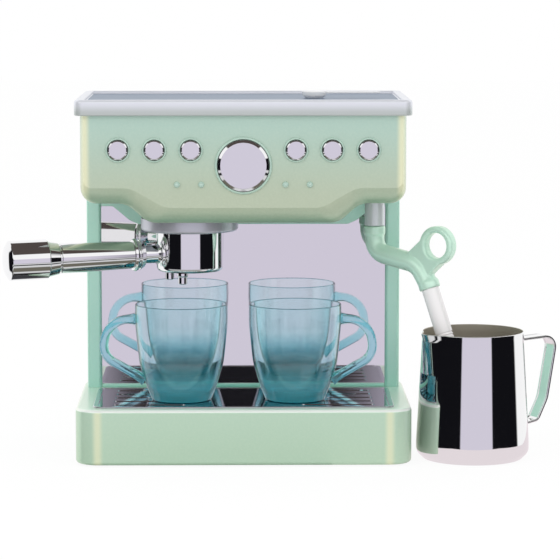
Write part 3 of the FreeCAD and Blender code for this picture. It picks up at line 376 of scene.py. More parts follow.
def pearl_mint(name, low_colour, high_colour, low_up, high_up, gloss, painted_sheen=(), under=0.0, painted_top_light=0.0):
    finish, tree, shader = new_finish(name, Metallic=0.18, Roughness=gloss, IOR=1.6, Coat_Weight=0.25,
                                      Coat_Roughness=0.12, Specular_Tint=(1.0, 0.96, 0.68, 1))
    x, _, z = parts_of(tree, "Object")
    colour = blended(tree, soft_step(tree, z, low_up * MM, high_up * MM), (*low_colour, 1), (*high_colour, 1))
    # Painted highlight: a pale yellow stripe along each side edge.
    if painted_sheen:
        colour = painted_side_sheen(tree, colour, x, *painted_sheen)
    facing = new_node(tree, "NewGeometry").outputs["Normal"]
    rise = new_node(tree, "SeparateXYZ", Vector=facing).outputs[2]
    # Painted shade: faces that turn downwards are mixed towards a deeper green.
    if under:
        painted_shade_below = soft_step(tree, times(tree, rise, -1), 0.25, 0.85)
        colour = blended(tree, times(tree, painted_shade_below, under), colour, PAINTED_SHADE_GREEN)
    # Painted light: faces that turn upwards are lighter, and the rounded edge between them and the walls gets
    # a painted highlight.
    if painted_top_light:
        colour = blended(tree, times(tree, soft_step(tree, rise, 0.1, 0.5), painted_top_light), colour, LIT_GREEN)
        rounded = times(tree, soft_step(tree, rise, 0.2, 0.45), soft_step(tree, rise, 0.98, 0.85))
        colour = blended(tree, times(tree, rounded, 0.8), colour, LIT_EDGE)
    flecks = soft_step(tree, cloudy(tree, 600, 3), 0.35, 0.75)
    colour = blended(tree, times(tree, flecks, 0.06), colour, MICA)
    tree.links.new(colour, shader.inputs["Base Color"])
    relief(tree, shader, cloudy(tree, 900, 2), 0.00001, 0.2)
    return finish


# The head's green runs from cool at the top to warm low down, a painted pearl sheen. Its side-edge stripe is
# a painted highlight and its deeper green underneath is painted shade.
head_mint = pearl_mint("head_pearl_mint", (0.50, 0.58, 0.44), (0.46, 0.65, 0.57), 178, 240, 0.32,
                       painted_sheen=(102.5, 111, 0.8), under=0.6)
ring_mint = pearl_mint("ring_pearl_mint", (0.46, 0.64, 0.54), (0.50, 0.68, 0.60), 178, 240, 0.14)
# The base's side-edge stripe is a painted highlight, and its lighter upward faces and top edge are painted
# light.
base_mint = pearl_mint("base_pearl_mint", (0.50, 0.69, 0.53), (0.52, 0.71, 0.56), 5, 38, 0.32,
                       painted_sheen=(95, 104, 0.6), painted_top_light=0.85)
column_mint = pearl_mint("column_pearl_mint", (0.50, 0.84, 0.71), (0.52, 0.86, 0.73), 40, 180, 0.28)
wand_mint = pearl_mint("wand_mint", (0.62, 0.88, 0.75), (0.60, 0.87, 0.73), 100, 175, 0.28)
dome_mint = pearl_mint("dome_mint", (0.50, 0.68, 0.60), (0.50, 0.68, 0.60), 40, 180, 0.1)
rear_mint = pearl_mint("rear_mint", (0.46, 0.66, 0.53), (0.46, 0.67, 0.54), 40, 180, 0.5)
print("mints:", len(bpy.data.materials))

# %% [markdown]
# The bright parts are chromed plastic, which is a very smooth metal with a trace of unevenness
# from the moulding under it. The big sheet behind the mugs is a mirror with long soft waves. The
# lid, the ring and the wand's collar are silver lacquer, which is rougher and less metallic.

# %% Chrome, mirror and steel
# Painted shade and light on the lid's wall: greyer at its foot, lighter and bluer at its rim.
LID_PAINTED_SHADE, LID_PAINTED_LIGHT = (0.54, 0.58, 0.57, 1), (0.80, 0.82, 0.88, 1)


def bright_metal(name, colour, rough, wave_scale, wave, metal=1.0):
    finish, tree, shader = new_finish(name, Base_Color=(*colour, 1), Metallic=metal)
    smears = soft_step(tree, cloudy(tree, 60, 3), 0.3, 0.8)
    tree.links.new(maths(tree, "ADD", times(tree, smears, 0.02), rough), shader.inputs["Roughness"])
    relief(tree, shader, cloudy(tree, wave_scale, 1), wave, 0.5)
    return finish


def lid_lacquer_painted_light():
    """Silver that is painted greyer at the foot of the lid's wall than at its rim: painted shade below,
    painted light above.
    """
    finish = bright_metal("lid_silver", (0.70, 0.75, 0.80), 0.3, 300, 0.00001, 0.3)
    tree = finish.node_tree
    rise = soft_step(tree, parts_of(tree, "Object")[2], 240.5 * MM, 247.5 * MM)
    tree.links.new(blended(tree, rise, LID_PAINTED_SHADE, LID_PAINTED_LIGHT), tree.nodes["Principled BSDF"].inputs["Base Color"])
    return finish


chrome = bright_metal("chrome", (0.86, 0.86, 0.87), 0.03, 30, 0.000003)
tray_chrome = bright_metal("tray_chrome", (0.62, 0.62, 0.66), 0.04, 12, 0.00001)
mirror = bright_metal("mirror_sheet", (0.84, 0.83, 0.845), 0.02, 9, 0.00002)
jug_steel = bright_metal("jug_steel", (0.85, 0.85, 0.855), 0.03, 14, 0.00002)
silver_lacquer = bright_metal("silver_lacquer", (0.60, 0.61, 0.67), 0.34, 300, 0.00001, 0.7)
lid_silver = lid_lacquer_painted_light()
collar_silver = bright_metal("collar_silver", (0.72, 0.76, 0.78), 0.3, 300, 0.00001, 0.35)
# Painted reflection: a dark slate-blue metal for the lid's recess floor, standing in for the dark room that
# the floor mirrors.
lid_painted_reflection = bright_metal("lid_painted_reflection", (0.20, 0.27, 0.38), 0.4, 300, 0.00001, 0.5)
jug_inside = bright_metal("jug_satin", (0.50, 0.46, 0.38), 0.45, 200, 0.00002, 0.6)
zinc = bright_metal("zinc_screw", (0.55, 0.56, 0.57), 0.35, 200, 0.00001)
print("mints and metals:", len(bpy.data.materials))

# %% [markdown]
# The mugs, the wand's tube and the spoon are clear plastic. The dye is in the thickness of the
# wall, as a volume that absorbs light, so thick parts look deeper than thin ones. Light for
# shadows passes straight through, which keeps the tray under the mugs from turning black.

# %% Clear plastic
def clear_plastic(name, dye_colour, density, surface=(1, 1, 1), rough=0.0, milk=0.0, bends=1.49, coat=0.0):
    finish, tree, shader = new_finish(name, Base_Color=(*surface, 1), Roughness=rough, IOR=bends,
                                      Coat_Weight=coat, Coat_Roughness=0.02, Transmission_Weight=1 - milk)
    relief(tree, shader, cloudy(tree, 40, 1), 0.00001, 0.3)
    output = tree.nodes["Material Output"]
    for_shadows = new_node(tree, "LightPath").outputs["Is Shadow Ray"]
    through = new_node(tree, "BsdfTransparent", Color=(*((1 + c) / 2 for c in dye_colour), 1))
    mixed = mixed_shader(tree, for_shadows, shader.outputs[0], through.outputs[0])
    tree.links.new(mixed, output.inputs["Surface"])
    dye = new_node(tree, "VolumeAbsorption", Color=(*dye_colour, 1), Density=density)
    tree.links.new(dye.outputs[0], output.inputs["Volume"])
    return finish


rose_clear = clear_plastic("rose_clear", (0.98, 0.93, 0.94), 2, (1, 0.985, 0.99), 0.2, milk=0.85)
# The spoon's plastic is made mostly milky white: a painted highlight, standing in for the white highlights on
# its clear plastic.
clear_with_painted_highlight = clear_plastic("clear_with_painted_highlight", (0.95, 0.96, 1.0), 4, rough=0.08, milk=0.75)
print("clear plastics: rose and water")

# %% [markdown]
# The teal of the mugs has more to it. It deepens towards the foot, where the wall is thick and a
# little cloudy, and it is deepest on the rim and wherever the wall is seen edge on. The last is
# what draws a thin dark line round a mug of clear plastic.

# %% Teal of the mugs
TEAL_FOOT, TEAL_EDGE, TEAL_RIM = (0.12, 0.58, 0.66, 1), (0.12, 0.42, 0.48, 1), (0.10, 0.36, 0.42, 1)
FOOT_UP, THICK_UP, TINT_UP, RIM_UP = 41, 62, 74, 106.2


def teal_plastic():
    finish = clear_plastic("teal_clear", (0.06, 0.84, 0.88), 92, bends=1.1, coat=0.9)
    tree = finish.node_tree
    shader = tree.nodes["Principled BSDF"]
    up = parts_of(tree, "Object")[2]
    edge_on = new_node(tree, "LayerWeight", Blend=0.5).outputs["Facing"]
    colour = blended(tree, soft_step(tree, up, TINT_UP * MM, FOOT_UP * MM), (1, 1, 1, 1), TEAL_FOOT)
    grazing = soft_step(tree, edge_on, 0.75, 0.98)
    colour = blended(tree, times(tree, grazing, 0.6), colour, TEAL_EDGE)
    colour = blended(tree, soft_step(tree, up, RIM_UP * MM, (RIM_UP + 0.6) * MM), colour, TEAL_RIM)
    tree.links.new(colour, shader.inputs["Base Color"])
    cloudy_part = soft_step(tree, up, THICK_UP * MM, FOOT_UP * MM)
    tree.links.new(maths(tree, "MULTIPLY_ADD", cloudy_part, -0.45, 1), shader.inputs["Transmission Weight"])
    return finish


teal_clear = teal_plastic()
print("teal nodes:", len(teal_clear.node_tree.nodes))

# %% [markdown]
# The feet, the cells, the board and the switches are plain dark plastics and rubber. A fine grain
# in the colour and the surface keeps them from looking like painted blocks.

# %% Plain plastics and rubber
def plain(name, colour, rough):
    grain = 400
    finish, tree, shader = new_finish(name, Roughness=rough)
    tint = blended(tree, soft_step(tree, cloudy(tree, grain, 3), 0.3, 0.7), (*colour, 1),
                   (*(c * 0.85 for c in colour), 1))
    tree.links.new(tint, shader.inputs["Base Color"])
    relief(tree, shader, cloudy(tree, grain * 2, 2), 0.00004, 0.4)
    return finish


dark_rubber = plain("dark_rubber", (0.05, 0.055, 0.05), 0.8)
black_plastic = plain("black_plastic", (0.02, 0.02, 0.022), 0.5)
board_green = plain("board_green", (0.02, 0.16, 0.07), 0.35)
cell_sleeve = plain("cell_sleeve", (0.09, 0.09, 0.10), 0.4)
print("finishes:", len(bpy.data.materials))

# %% [markdown]
# Most moulded pieces are one of three kinds: turned like a bowl, drawn up from a plan outline, or
# run along a route. One short function makes each kind, and all three use the same rounding of
# corners, because no moulding has a sharp edge. A corner becomes an arc that touches both sides.

# %% Rounded outlines
def softened(corners, steps=5, closed=False):
    """The points of an outline in order. A corner given as (x, y, radius) is rounded."""
    points = []
    count = len(corners)
    for i, corner in enumerate(corners):
        here = Vector(corner[:2])
        radius = corner[2] if len(corner) > 2 else 0
        if radius <= 0 or (not closed and i in (0, count - 1)):
            points.append(here)
            continue
        before = (Vector(corners[i - 1][:2]) - here).normalized()
        after = (Vector(corners[(i + 1) % count][:2]) - here).normalized()
        half = before.angle(after) / 2
        centre = here + (before + after).normalized() * (radius / math.sin(half))
        spoke = here + before * (radius / math.tan(half)) - centre
        left = after.x * before.y - after.y * before.x < 0
        sweep = (math.pi - 2 * half) * (-1 if left else 1)
        for k in range(steps + 1):
            turn = Matrix.Rotation(sweep * k / steps, 2)
            points.append(centre + turn @ spoke)
    return points


print("points on one rounded corner:", len(softened([(0, 0), (1, 0, 0.2), (1, 1)])) - 2)

# %% [markdown]
# Every piece is finished the same way: doubled points are merged, faces are shaded smooth except
# over real creases, and the piece is hung on the body of the model that it moves with. Weighted
# normals keep the large flat faces of a moulding flat up to its rounded edges.

# %% Making a piece from its mesh
def made(name, mesh_maker, body, *finishes, crease=35, replaces=(), slot=None, place=None):
    """A finished piece, from its mesh, its materials and the body that it rides on."""
    bmesh.ops.remove_doubles(mesh_maker, verts=mesh_maker.verts, dist=1e-7)
    bmesh.ops.recalc_face_normals(mesh_maker, faces=mesh_maker.faces)
    limit = math.radians(crease)
    for face in mesh_maker.faces:
        face.smooth = True
    for edge in mesh_maker.edges:
        edge.smooth = len(edge.link_faces) == 2 and edge.calc_face_angle(0) < limit
    mesh = bpy.data.meshes.new(name)
    mesh_maker.to_mesh(mesh)
    mesh_maker.free()
    if place is not None:
        mesh.transform(place)
    for finish in finishes:
        mesh.materials.append(finish)
    piece = bpy.data.objects.new(name, mesh)
    bpy.context.scene.collection.objects.link(piece)
    with_even_shading(piece)
    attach(piece, body)
    if replaces:
        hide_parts(*replaces)
    return piece


def bridge(mesh_maker, rings):
    """Faces between rings of vertices. A ring of one vertex is a pole."""
    for low, high in zip(rings, rings[1:]):
        count = max(len(low), len(high))
        for i in range(count):
            j = (i + 1) % count
            corners = [low[i % len(low)], low[j % len(low)], high[j % len(high)], high[i % len(high)]]
            distinct = list(dict.fromkeys(corners))
            if len(distinct) > 2:
                mesh_maker.faces.new(distinct)


def bridged(mesh_maker, rings):
    """The same with a face over each end, which makes the form closed."""
    bridge(mesh_maker, rings)
    mesh_maker.faces.new(list(reversed(rings[0])))
    mesh_maker.faces.new(rings[-1])
    return mesh_maker


def turned_mesh(corners, steps=5, around=96, closed=False, pressed=lambda radius, up, turn: 0):
    """A turned form about Z, from (radius, height) corners in millimetres. It may be pressed outwards."""
    form = bmesh.new()
    rings = []
    for radius, up in softened(corners, steps, closed):
        ring = []
        for k in range(around if radius >= 1e-4 else 1):
            turn = 2 * math.pi * k / around
            reach = radius + pressed(radius, up, turn)
            ring.append(form.verts.new(Vector((reach * math.cos(turn), reach * math.sin(turn), up)) * MM))
        rings.append(ring)
    if closed:
        rings.append(rings[0])
    bridge(form, rings)
    return form


def across_range(side, near, far):
    """Left and right edge of something that lies between two distances from the middle."""
    return sorted((side * near, side * far))


def rounded_plan(left, right, front, back, radius, steps=8):
    """A rounded rectangle seen from above, in the machine's own measures."""
    radius = max(radius, 0.2)
    return softened([(left, front, radius), (right, front, radius), (right, back, radius),
                     (left, back, radius)], steps, closed=True)


def drawn_up(left, right, front, back, corner, wall, steps=4):
    """A form drawn up from a plan. The wall is a list of (inset, height, rounding) corners."""
    form = bmesh.new()
    rings = []
    for inset, up in softened(wall, steps):
        plan = rounded_plan(left + inset, right - inset, front + inset, back - inset, corner - inset)
        rings.append([form.verts.new(at(x, y, up)) for x, y in plan])
    return bridged(form, rings)


def with_even_shading(piece):
    piece.modifiers.new("evened_shading", "WEIGHTED_NORMAL").keep_sharp = True
    return piece


def as_made(piece):
    """Turn a piece's modifiers into its own mesh."""
    piece.modifiers.remove(piece.modifiers["evened_shading"])
    graph = bpy.context.evaluated_depsgraph_get()
    graph.update()
    mesh = bpy.data.meshes.new_from_object(piece.evaluated_get(graph))
    piece.modifiers.clear()
    mesh.name = piece.name
    piece.data = mesh
    return piece


def carved(piece, *cutters, way="DIFFERENCE"):
    """Cut other meshes out of a piece, or join them to it, and take the others away."""
    for cutter in cutters:
        hole = piece.modifiers.new("cut", "BOOLEAN")
        hole.object = cutter
        hole.operation = way
        hole.solver = "EXACT"
        piece.modifiers.move(len(piece.modifiers) - 1, 0)
    as_made(piece)
    for cutter in cutters:
        bpy.data.objects.remove(cutter)
    return with_even_shading(piece)


def cutter_from(mesh_maker, place=None):
    bmesh.ops.recalc_face_normals(mesh_maker, faces=mesh_maker.faces)
    mesh = bpy.data.meshes.new("cutter")
    mesh_maker.to_mesh(mesh)
    mesh_maker.free()
    if place is not None:
        mesh.transform(place)
    cutter = bpy.data.objects.new("cutter", mesh)
    bpy.context.scene.collection.objects.link(cutter)
    return cutter


def facing_front(across, back, up):
    """Lays a turned form's own +Z so that it points out of the front, at this place."""
    return Matrix.Translation(at(across, back, up)) @ Matrix.Rotation(math.radians(90), 4, "X")


print("ways to make a form: turned, drawn up, carved")

# %% [markdown]
# The base is a hollow tub turned upside down. It is drawn up from a rounded plan with a small
# radius at its top and bottom edges. The well for the drip tray and the space underneath are cut
# out of it.

# %% Base moulding
BASE_HALF, BASE_TOP, BASE_LOW, BASE_CORNER, WALL = 115, 39.3, 1.0, 16, 2.2
TRAY_HALF, TRAY_FRONT, TRAY_BACK, TRAY_CORNER = 103, 8, 95, 7
TRAY_TOP, TRAY_FLOOR, TRAY_SEAT, TRAY_GAP = 40.3, 30, 2, 0.35


def base_moulding():
    wall = [(2.6, BASE_LOW), (0, BASE_LOW, 2.5), (0, BASE_TOP, 2.6), (2.7, BASE_TOP)]
    form = drawn_up(-BASE_HALF, BASE_HALF, 0, BASE_DEPTH, BASE_CORNER, wall, 5)
    piece = made("base_moulding", form, "machine", base_mint, replaces=["base_shell"], slot="pearl_mint")
    step = TRAY_SEAT - TRAY_GAP
    well = drawn_up(-TRAY_HALF + step, TRAY_HALF - step, TRAY_FRONT + step, TRAY_BACK - step,
                    TRAY_CORNER - step,
                    [(0, TRAY_FLOOR), (0, BASE_TOP - 0.5), (-0.5, BASE_TOP), (-0.5, BASE_TOP + 1)])
    under = drawn_up(-BASE_HALF + WALL, BASE_HALF - WALL, WALL, BASE_DEPTH - WALL, BASE_CORNER - WALL,
                     [(0, BASE_LOW - 1), (0, TRAY_FLOOR - WALL)])
    return carved(piece, cutter_from(well), cutter_from(under))


base = base_moulding()
print("base faces:", len(base.data.polygons))

# %% [markdown]
# The drip tray is a chromed plate. Its skirt drops into the well and its edge rests on the base,
# one millimetre proud of it. That low step is what draws the thin dark line along its front.

# %% Drip tray
SLOT_NEAR, SLOT_FAR, SLOT_WIDE, SLOT_PITCH = 40, 89.5, 4.2, 15.8
SLOT_MIDDLE = (TRAY_FRONT + TRAY_BACK) / 2 - 2.5


def drip_tray():
    wall = [(TRAY_SEAT, TRAY_FLOOR + FIT), (TRAY_SEAT, BASE_TOP + FIT), (0, BASE_TOP + FIT, 0.2),
            (0, TRAY_TOP, 0.45), (3.4, TRAY_TOP, 0.4), (3.8, TRAY_TOP - 0.2, 0.3), (6, TRAY_TOP - 0.2)]
    form = drawn_up(-TRAY_HALF, TRAY_HALF, TRAY_FRONT, TRAY_BACK, TRAY_CORNER, wall)
    piece = made("drip_tray_plate", form, "tray", tray_chrome, replaces=["drip_tray"], slot="chrome_parts")
    edge = [(0, TRAY_TOP - 2.2), (0, TRAY_TOP - 0.8), (-0.45, TRAY_TOP + 0.2)]
    cutters = []
    for side in SIDES:
        for n in range(-2, 3):
            line = SLOT_MIDDLE + n * SLOT_PITCH
            slot = drawn_up(*across_range(side, SLOT_NEAR, SLOT_FAR), line - SLOT_WIDE / 2,
                            line + SLOT_WIDE / 2, SLOT_WIDE / 2 - 0.01, edge)
            cutters.append(cutter_from(slot))
    return carved(piece, *cutters)


tray = drip_tray()
print("tray faces:", len(tray.data.polygons))

# %% [markdown]
# The head is the main moulding. From the front its lower edge runs level, swoops down in an S and
# runs level again under the brew group. Its flat face ends in a convex bevel that widens to the
# full body, so it is built as one stack of outlines, each a little larger than the last.

# %% Head moulding
FACE = {"half": 107.5, "high": 190.1, "low": 176.7, "near": 53.1, "far": 76.3, "turn": 20, "corner": 5}
BODY = {"half": 110.4, "high": 178.8, "low": 165.5, "near": 64.4, "far": 79.2, "turn": 16, "corner": 11}
FACE_BACK, HEAD_BEVEL, HEAD_REAR, HEAD_TOP = 3.5, 12, 134, 238.9
CREASE = math.radians(35)
BUTTON_UP, KNOB_UP, LAMP_UP = 215.8, 205.3, 192.5
BUTTON_ACROSS, BUTTON_RING, KNOB_ACROSS, KNOB_RING = 13.4, 16.8, 34.9, 38.9
BUTTONS = [-84.5, -60, -35.5, 35.5, 60, 84.5]
BUTTON_PLACES = [(x, BUTTON_UP, BUTTON_ACROSS / 2) for x in BUTTONS] + [(0, KNOB_UP, KNOB_ACROSS / 2)]
CAP_GAP = 0.3


def head_outline(blend, inset=0.0):
    """The head's outline from the front. Its lower edge is level, slopes down and is level again."""
    size = {key: FACE[key] + (BODY[key] - FACE[key]) * blend for key in FACE}
    half, corner = size["half"] - inset, max(size["corner"] - inset, 0.5)
    high, low = size["high"] + inset, size["low"] + inset
    right = [(half, HEAD_TOP), (half, high, corner), (size["far"], high, size["turn"]),
             (size["near"], low, size["turn"])]
    left = [(-point[0], *point[1:]) for point in reversed(right)]
    return [tuple(point) for point in softened(right + left, 9)]


def upright_prism(outline, front, back):
    """A cutter from an outline of (across, up) points, run from front to back."""
    form = bmesh.new()
    return cutter_from(bridged(form, [[form.verts.new(at(x, depth, z)) for x, z in outline]
                                      for depth in (front, back)]))


def head_moulding():
    form = bmesh.new()
    rings = []
    turns = [CREASE + (math.pi / 2 - CREASE) * k / 14 for k in range(15)]
    sections = [((math.sin(a) - math.sin(CREASE)) / (1 - math.sin(CREASE)),
                 FACE_BACK + HEAD_BEVEL * (1 - math.cos(a) / math.cos(CREASE))) for a in turns]
    sections += [(1, HEAD_REAR - 1.5), (1, HEAD_REAR)]
    for blend, back in sections:
        inset = 1.2 if back == HEAD_REAR else 0
        rings.append([form.verts.new(at(x, back, z)) for x, z in head_outline(blend, inset)])
    piece = made("head_moulding", bridged(form, rings), "machine", head_mint, crease=14,
                 replaces=["head_shell"], slot="pearl_mint")
    inside = [(x, min(z, HEAD_TOP - 1)) for x, z in head_outline(0, WALL)]
    holes = []
    for x, z, radius in BUTTON_PLACES:
        wide = radius + CAP_GAP
        plug = turned_mesh([(0, -9), (wide, -9), (wide, 4), (0, 4)], around=72)
        holes.append(cutter_from(plug, facing_front(x, FACE_BACK, z)))
    return carved(piece, upright_prism(inside, FACE_BACK + WALL, HEAD_REAR - WALL), *holes)


head = head_moulding()
print("head faces:", len(head.data.polygons))

# %% [markdown]
# Each button is a chromed cap in a raised mint ring. Both are turned, because a turned outline
# gives the ring its round crest and the cap its narrow bevel, and the bevel is what mirrors the
# room as a thin bright and dark line.

# %% Rings and buttons
def bezel(name, across, up, inner, outer):
    """The raised mint ring round a button, round on its crest."""
    proud = 1.3
    profile = [(inner, -1.5), (outer, -1.5), (outer, proud, 1.0), (inner, proud, 0.5)]
    form = turned_mesh(profile, 6, closed=True)
    made(name, form, "machine", ring_mint, slot="pearl_mint", place=facing_front(across, FACE_BACK, up))


def cap(name, body, node, across, up, radius, bevel):
    """A chromed cap with a flat face, a narrow bevel and a skirt that runs into its hole."""
    proud = 2.6
    profile = [(0, proud), (radius - bevel, proud, 0.25), (radius, proud - bevel * 0.6, 0.3), (radius, -3.9),
               (0, -3.9)]
    made(name, turned_mesh(profile, steps=4), body, chrome, replaces=[node], slot="chrome_parts",
         place=facing_front(across, FACE_BACK, up))


for n, across in enumerate(BUTTONS, start=1):
    bezel(f"button_ring_{n}", across, BUTTON_UP, BUTTON_ACROSS / 2 + CAP_GAP, BUTTON_RING / 2)
    cap(f"button_cap_{n}", f"button_{n}_cap", f"button_{n}", across, BUTTON_UP, BUTTON_ACROSS / 2, 0.9)
bezel("brew_ring", 0, KNOB_UP, KNOB_ACROSS / 2 + CAP_GAP, KNOB_RING / 2)
cap("brew_cap", "brew_button_cap", "brew_button", 0, KNOB_UP, KNOB_ACROSS / 2, 1.9)
print("buttons:", len(BUTTON_PLACES))

# %% [markdown]
# Four small domes of polished mint stand under the buttons, where a real machine has its lamps.
# One CAD node holds all four, and it is hidden once the four domes are made.

# %% Indicator lamps
def lamp_dome(name, across):
    """A small polished dome with a stem in the face."""
    reach = 2.2
    curve = [(reach * math.cos(math.pi * k / 20), reach * math.sin(math.pi * k / 20)) for k in range(10)]
    form = turned_mesh([(0, -4), (1.5, -4), (1.5, 0), *curve, (0, reach)], around=40)
    return made(name, form, "machine", dome_mint, slot="pearl_mint",
                place=facing_front(across, FACE_BACK, LAMP_UP))


domes = [lamp_dome(f"lamp_{n}", across) for n, across in enumerate((-44.8, -28.4, 28.4, 44.8), start=1)]
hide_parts("indicator_domes")
print("domes:", len(domes))

# %% [markdown]
# The lid is a shallow tray in silver plastic. Its wall is drawn as one line: up the outside, over
# the rounded rim and down into the recess. The recess floor is a darker slate-blue metal: a
# painted reflection of the dark room that the recess mirrors.

# %% Lid
LID_HALF, LID_DEPTH, LID_TOP = 113.85, 137.5, 249.6


def lid():
    wall = [(1.5, HEAD_TOP), (0, HEAD_TOP, 1.0), (0, LID_TOP, 2.0), (6.5, LID_TOP, 1.0),
            (6.5, LID_TOP - 2, 0.8), (9, LID_TOP - 2)]
    form = drawn_up(-LID_HALF, LID_HALF, 0, LID_DEPTH, 6, wall, 5)
    piece = made("lid_moulding", form, "machine", lid_silver, lid_painted_reflection, replaces=["lid_tray"],
                 slot="silver_lid")
    # The recess floor gets the slate metal, a painted reflection.
    for face in piece.data.polygons:
        if face.normal.z > 0.9 and face.center.z < (LID_TOP - 1.5) * MM:
            face.material_index = 1
    return piece


print("lid faces:", len(lid().data.polygons))

# %% [markdown]
# The brew group is a silver ring under the head. The portafilter hangs in it: a chromed cup with
# two spouts, a boss and neck, a collar, a tapered rod and a thick grip, all turned on one axis.

# %% Group ring and portafilter
def about_group(up=0):
    return Matrix.Translation(GROUP + Vector((0, 0, up * MM)))


HANDLE_UP, HANDLE_SWING, HANDLE_DROOP = 141.8, 18, 0.7
SPOUTS_OFF, SPOUTS_APART = 9.8, 31


def along_handle():
    """Lays a turned form's +Z along the handle, away from the cup."""
    lay_down = Matrix.Rotation(math.radians(-90 - HANDLE_DROOP), 4, "Y")
    return about_group(HANDLE_UP) @ Matrix.Rotation(math.radians(HANDLE_SWING), 4, "Z") @ lay_down


def turned_piece(name, profile, body, finish, place, node, slot, closed=False, around=96):
    form = turned_mesh(profile, 5, around, closed)
    return made(name, form, body, finish, replaces=[node], slot=slot, place=place)


RING = [(24.7, 157.4), (33.6, 157.4, 2.0), (33.6, 166), (30, 166), (30, 163), (24.7, 163)]
CUP = [(0, 129.2), (23.1, 129.2, 3.2), (23.1, 163.3, 0.5), (21.1, 163.3, 0.5), (21.1, 133.2, 2), (0, 133.2)]
turned_piece("group_ring_disc", RING, "machine", silver_lacquer, about_group(), "group_ring", "silver_rings",
             closed=True)
turned_piece("filter_cup", CUP, "portafilter", chrome, about_group(), "portafilter_cup", "chrome_parts")


def gathered(form, *parts):
    """Move several meshes into one."""
    for part in parts:
        kept = bpy.data.meshes.new("part")
        part.to_mesh(kept)
        part.free()
        form.from_mesh(kept)
    return form


def spouts():
    swing = Matrix.Rotation(math.radians(HANDLE_SWING), 3, "Z")
    pair = []
    for side in SIDES:
        one = turned_mesh([(1.9, 129.2), (1.9, 121.8, 0.3), (2.4, 121.5, 0.3), (3.1, 122, 0.4),
                           (3.1, 126.7, 0.6), (3.8, 127.4, 0.4), (3.8, 129.2)], 4, 48, closed=True)
        place = swing @ Vector((-SPOUTS_OFF, side * SPOUTS_APART / 2, 0))
        bmesh.ops.translate(one, verts=one.verts, vec=GROUP + place * MM)
        pair.append(one)
    made("twin_spouts", gathered(bmesh.new(), *pair), "portafilter", chrome, replaces=["portafilter_spouts"],
         slot="chrome_parts")


spouts()
HANDLE = {
    "handle_neck": ("portafilter_neck", [(0, 20), (10.6, 20), (10.6, 22.6, 0.9), (7.2, 22.6, 0.5),
                                         (6.2, 24.2, 0.8), (6.2, 33.4), (0, 33.4)]),
    "handle_rings": ("handle_collar", [(0, 33.4), (8.75, 33.4, 0.6), (10.75, 36.8, 0.5), (9.75, 37.4, 0.2),
                                       (9.75, 38.2, 0.2), (10.9, 38.6, 0.4), (11.35, 39.7, 0.5),
                                       (10.55, 41.3, 0.4), (0, 41.3)]),
    "handle_rod_turned": ("handle_rod", [(0, 41.3), (9.2, 41.3, 0.4), (10.6, 92.9, 0.6), (9.8, 92.9, 0.1),
                                         (9.8, 94.1, 0.1), (11, 94.1, 0.4), (12.8, 101.6), (0, 101.6)]),
    "handle_grip_turned": ("handle_grip", [(0, 101.6), (13.8, 101.6, 0.9), (13.8, 128.1, 1.4),
                                           (9.4, 130.8, 9), (0, 132.2)]),
}
for name, (node, profile) in HANDLE.items():
    turned_piece(name, profile, "portafilter", chrome, along_handle(), node, "chrome_parts")
print("portafilter pieces:", len(HANDLE) + 2)

# %% [markdown]
# The two columns are narrow box mouldings that hold the head up. Between them stands the mirror,
# with a thin moulding in front of it that follows the head at the top and makes a ledge at its foot.

# %% Columns and the mirror's surround
COLUMN_INNER, COLUMN_OUTER, COLUMN_TOP = 101, 111.3, 186.8
COLUMN_FRONT, COLUMN_REAR, MIRROR_BACK = 102, 137, 105


def slab(outline, front, back, bevel):
    """A flat plate that faces the front, from an outline of (across, up) points."""
    form = bmesh.new()
    count = len(outline)
    rings = []
    for depth, inset in ((back, 0), (front + bevel, 0), (front + bevel * 0.3, bevel * 0.3), (front, bevel)):
        ring = []
        for i, here in enumerate(outline):
            before, after = Vector(outline[i - 1]), Vector(outline[(i + 1) % count])
            along = (after - before).normalized()
            ring.append(form.verts.new(at(here[0] - along.y * inset, depth, here[1] + along.x * inset)))
        rings.append(ring)
    return bridged(form, rings)


def column(side, name, node):
    wall = [(0, BASE_TOP + FIT), (0, COLUMN_TOP, 0.8), (1.2, COLUMN_TOP)]
    form = drawn_up(*across_range(side, COLUMN_INNER, COLUMN_OUTER), COLUMN_FRONT, COLUMN_REAR, 2.5, wall)
    piece = made(name, form, "machine", column_mint, replaces=[node], slot="pearl_mint")
    head_space = upright_prism(head_outline(1, -0.02), FACE_BACK, HEAD_REAR + 0.02)
    groove = drawn_up(*across_range(side, COLUMN_INNER - 2, COLUMN_INNER + 1.2), MIRROR_BACK - 0.1,
                      MIRROR_BACK + 1.3, 0.2, [(0, 30), (0, 200)])
    return carved(piece, head_space, cutter_from(groove))


def mirrored(points):
    """The points of a right half, with the left half before them."""
    return [(-x, *rest) for x, *rest in reversed(points)] + points


def surround():
    edge, rear = COLUMN_INNER - 0.2, MIRROR_BACK - FIT
    low = mirrored([(74.4, 156.3, 4), (80.8, 159.1, 4), (92.8, 169.1, 3), (edge, 169.1)])
    high = mirrored([(64.4, 165.45, 16), (79.2, 178.75, 16), (edge, 178.75)])
    outline = [tuple(point) for point in softened(low) + softened(list(reversed(high)))]
    made("surround_panel", slab(outline, COLUMN_FRONT + 1, rear, 0.7), "machine", column_mint,
         replaces=["mirror_surround"], slot="pearl_mint")
    foot, crest = BASE_TOP + FIT, BASE_TOP + 2.4
    ledge = [(-edge, foot), (edge, foot), (edge, crest), (-edge, crest)]
    made("surround_ledge", slab(ledge, COLUMN_FRONT + 1, rear, 0.5), "machine", column_mint,
         slot="pearl_mint")


columns = [column(side, f"column_moulding_{hand}", f"column_{hand}") for side, hand in zip(SIDES, HANDS)]
surround()
print("column faces:", [len(piece.data.polygons) for piece in columns])

# %% [markdown]
# Handles, straps and pipes are swept: a section is carried along a route of straight lines and
# round bends. The route lies in one plane, so each section only needs the direction it faces.

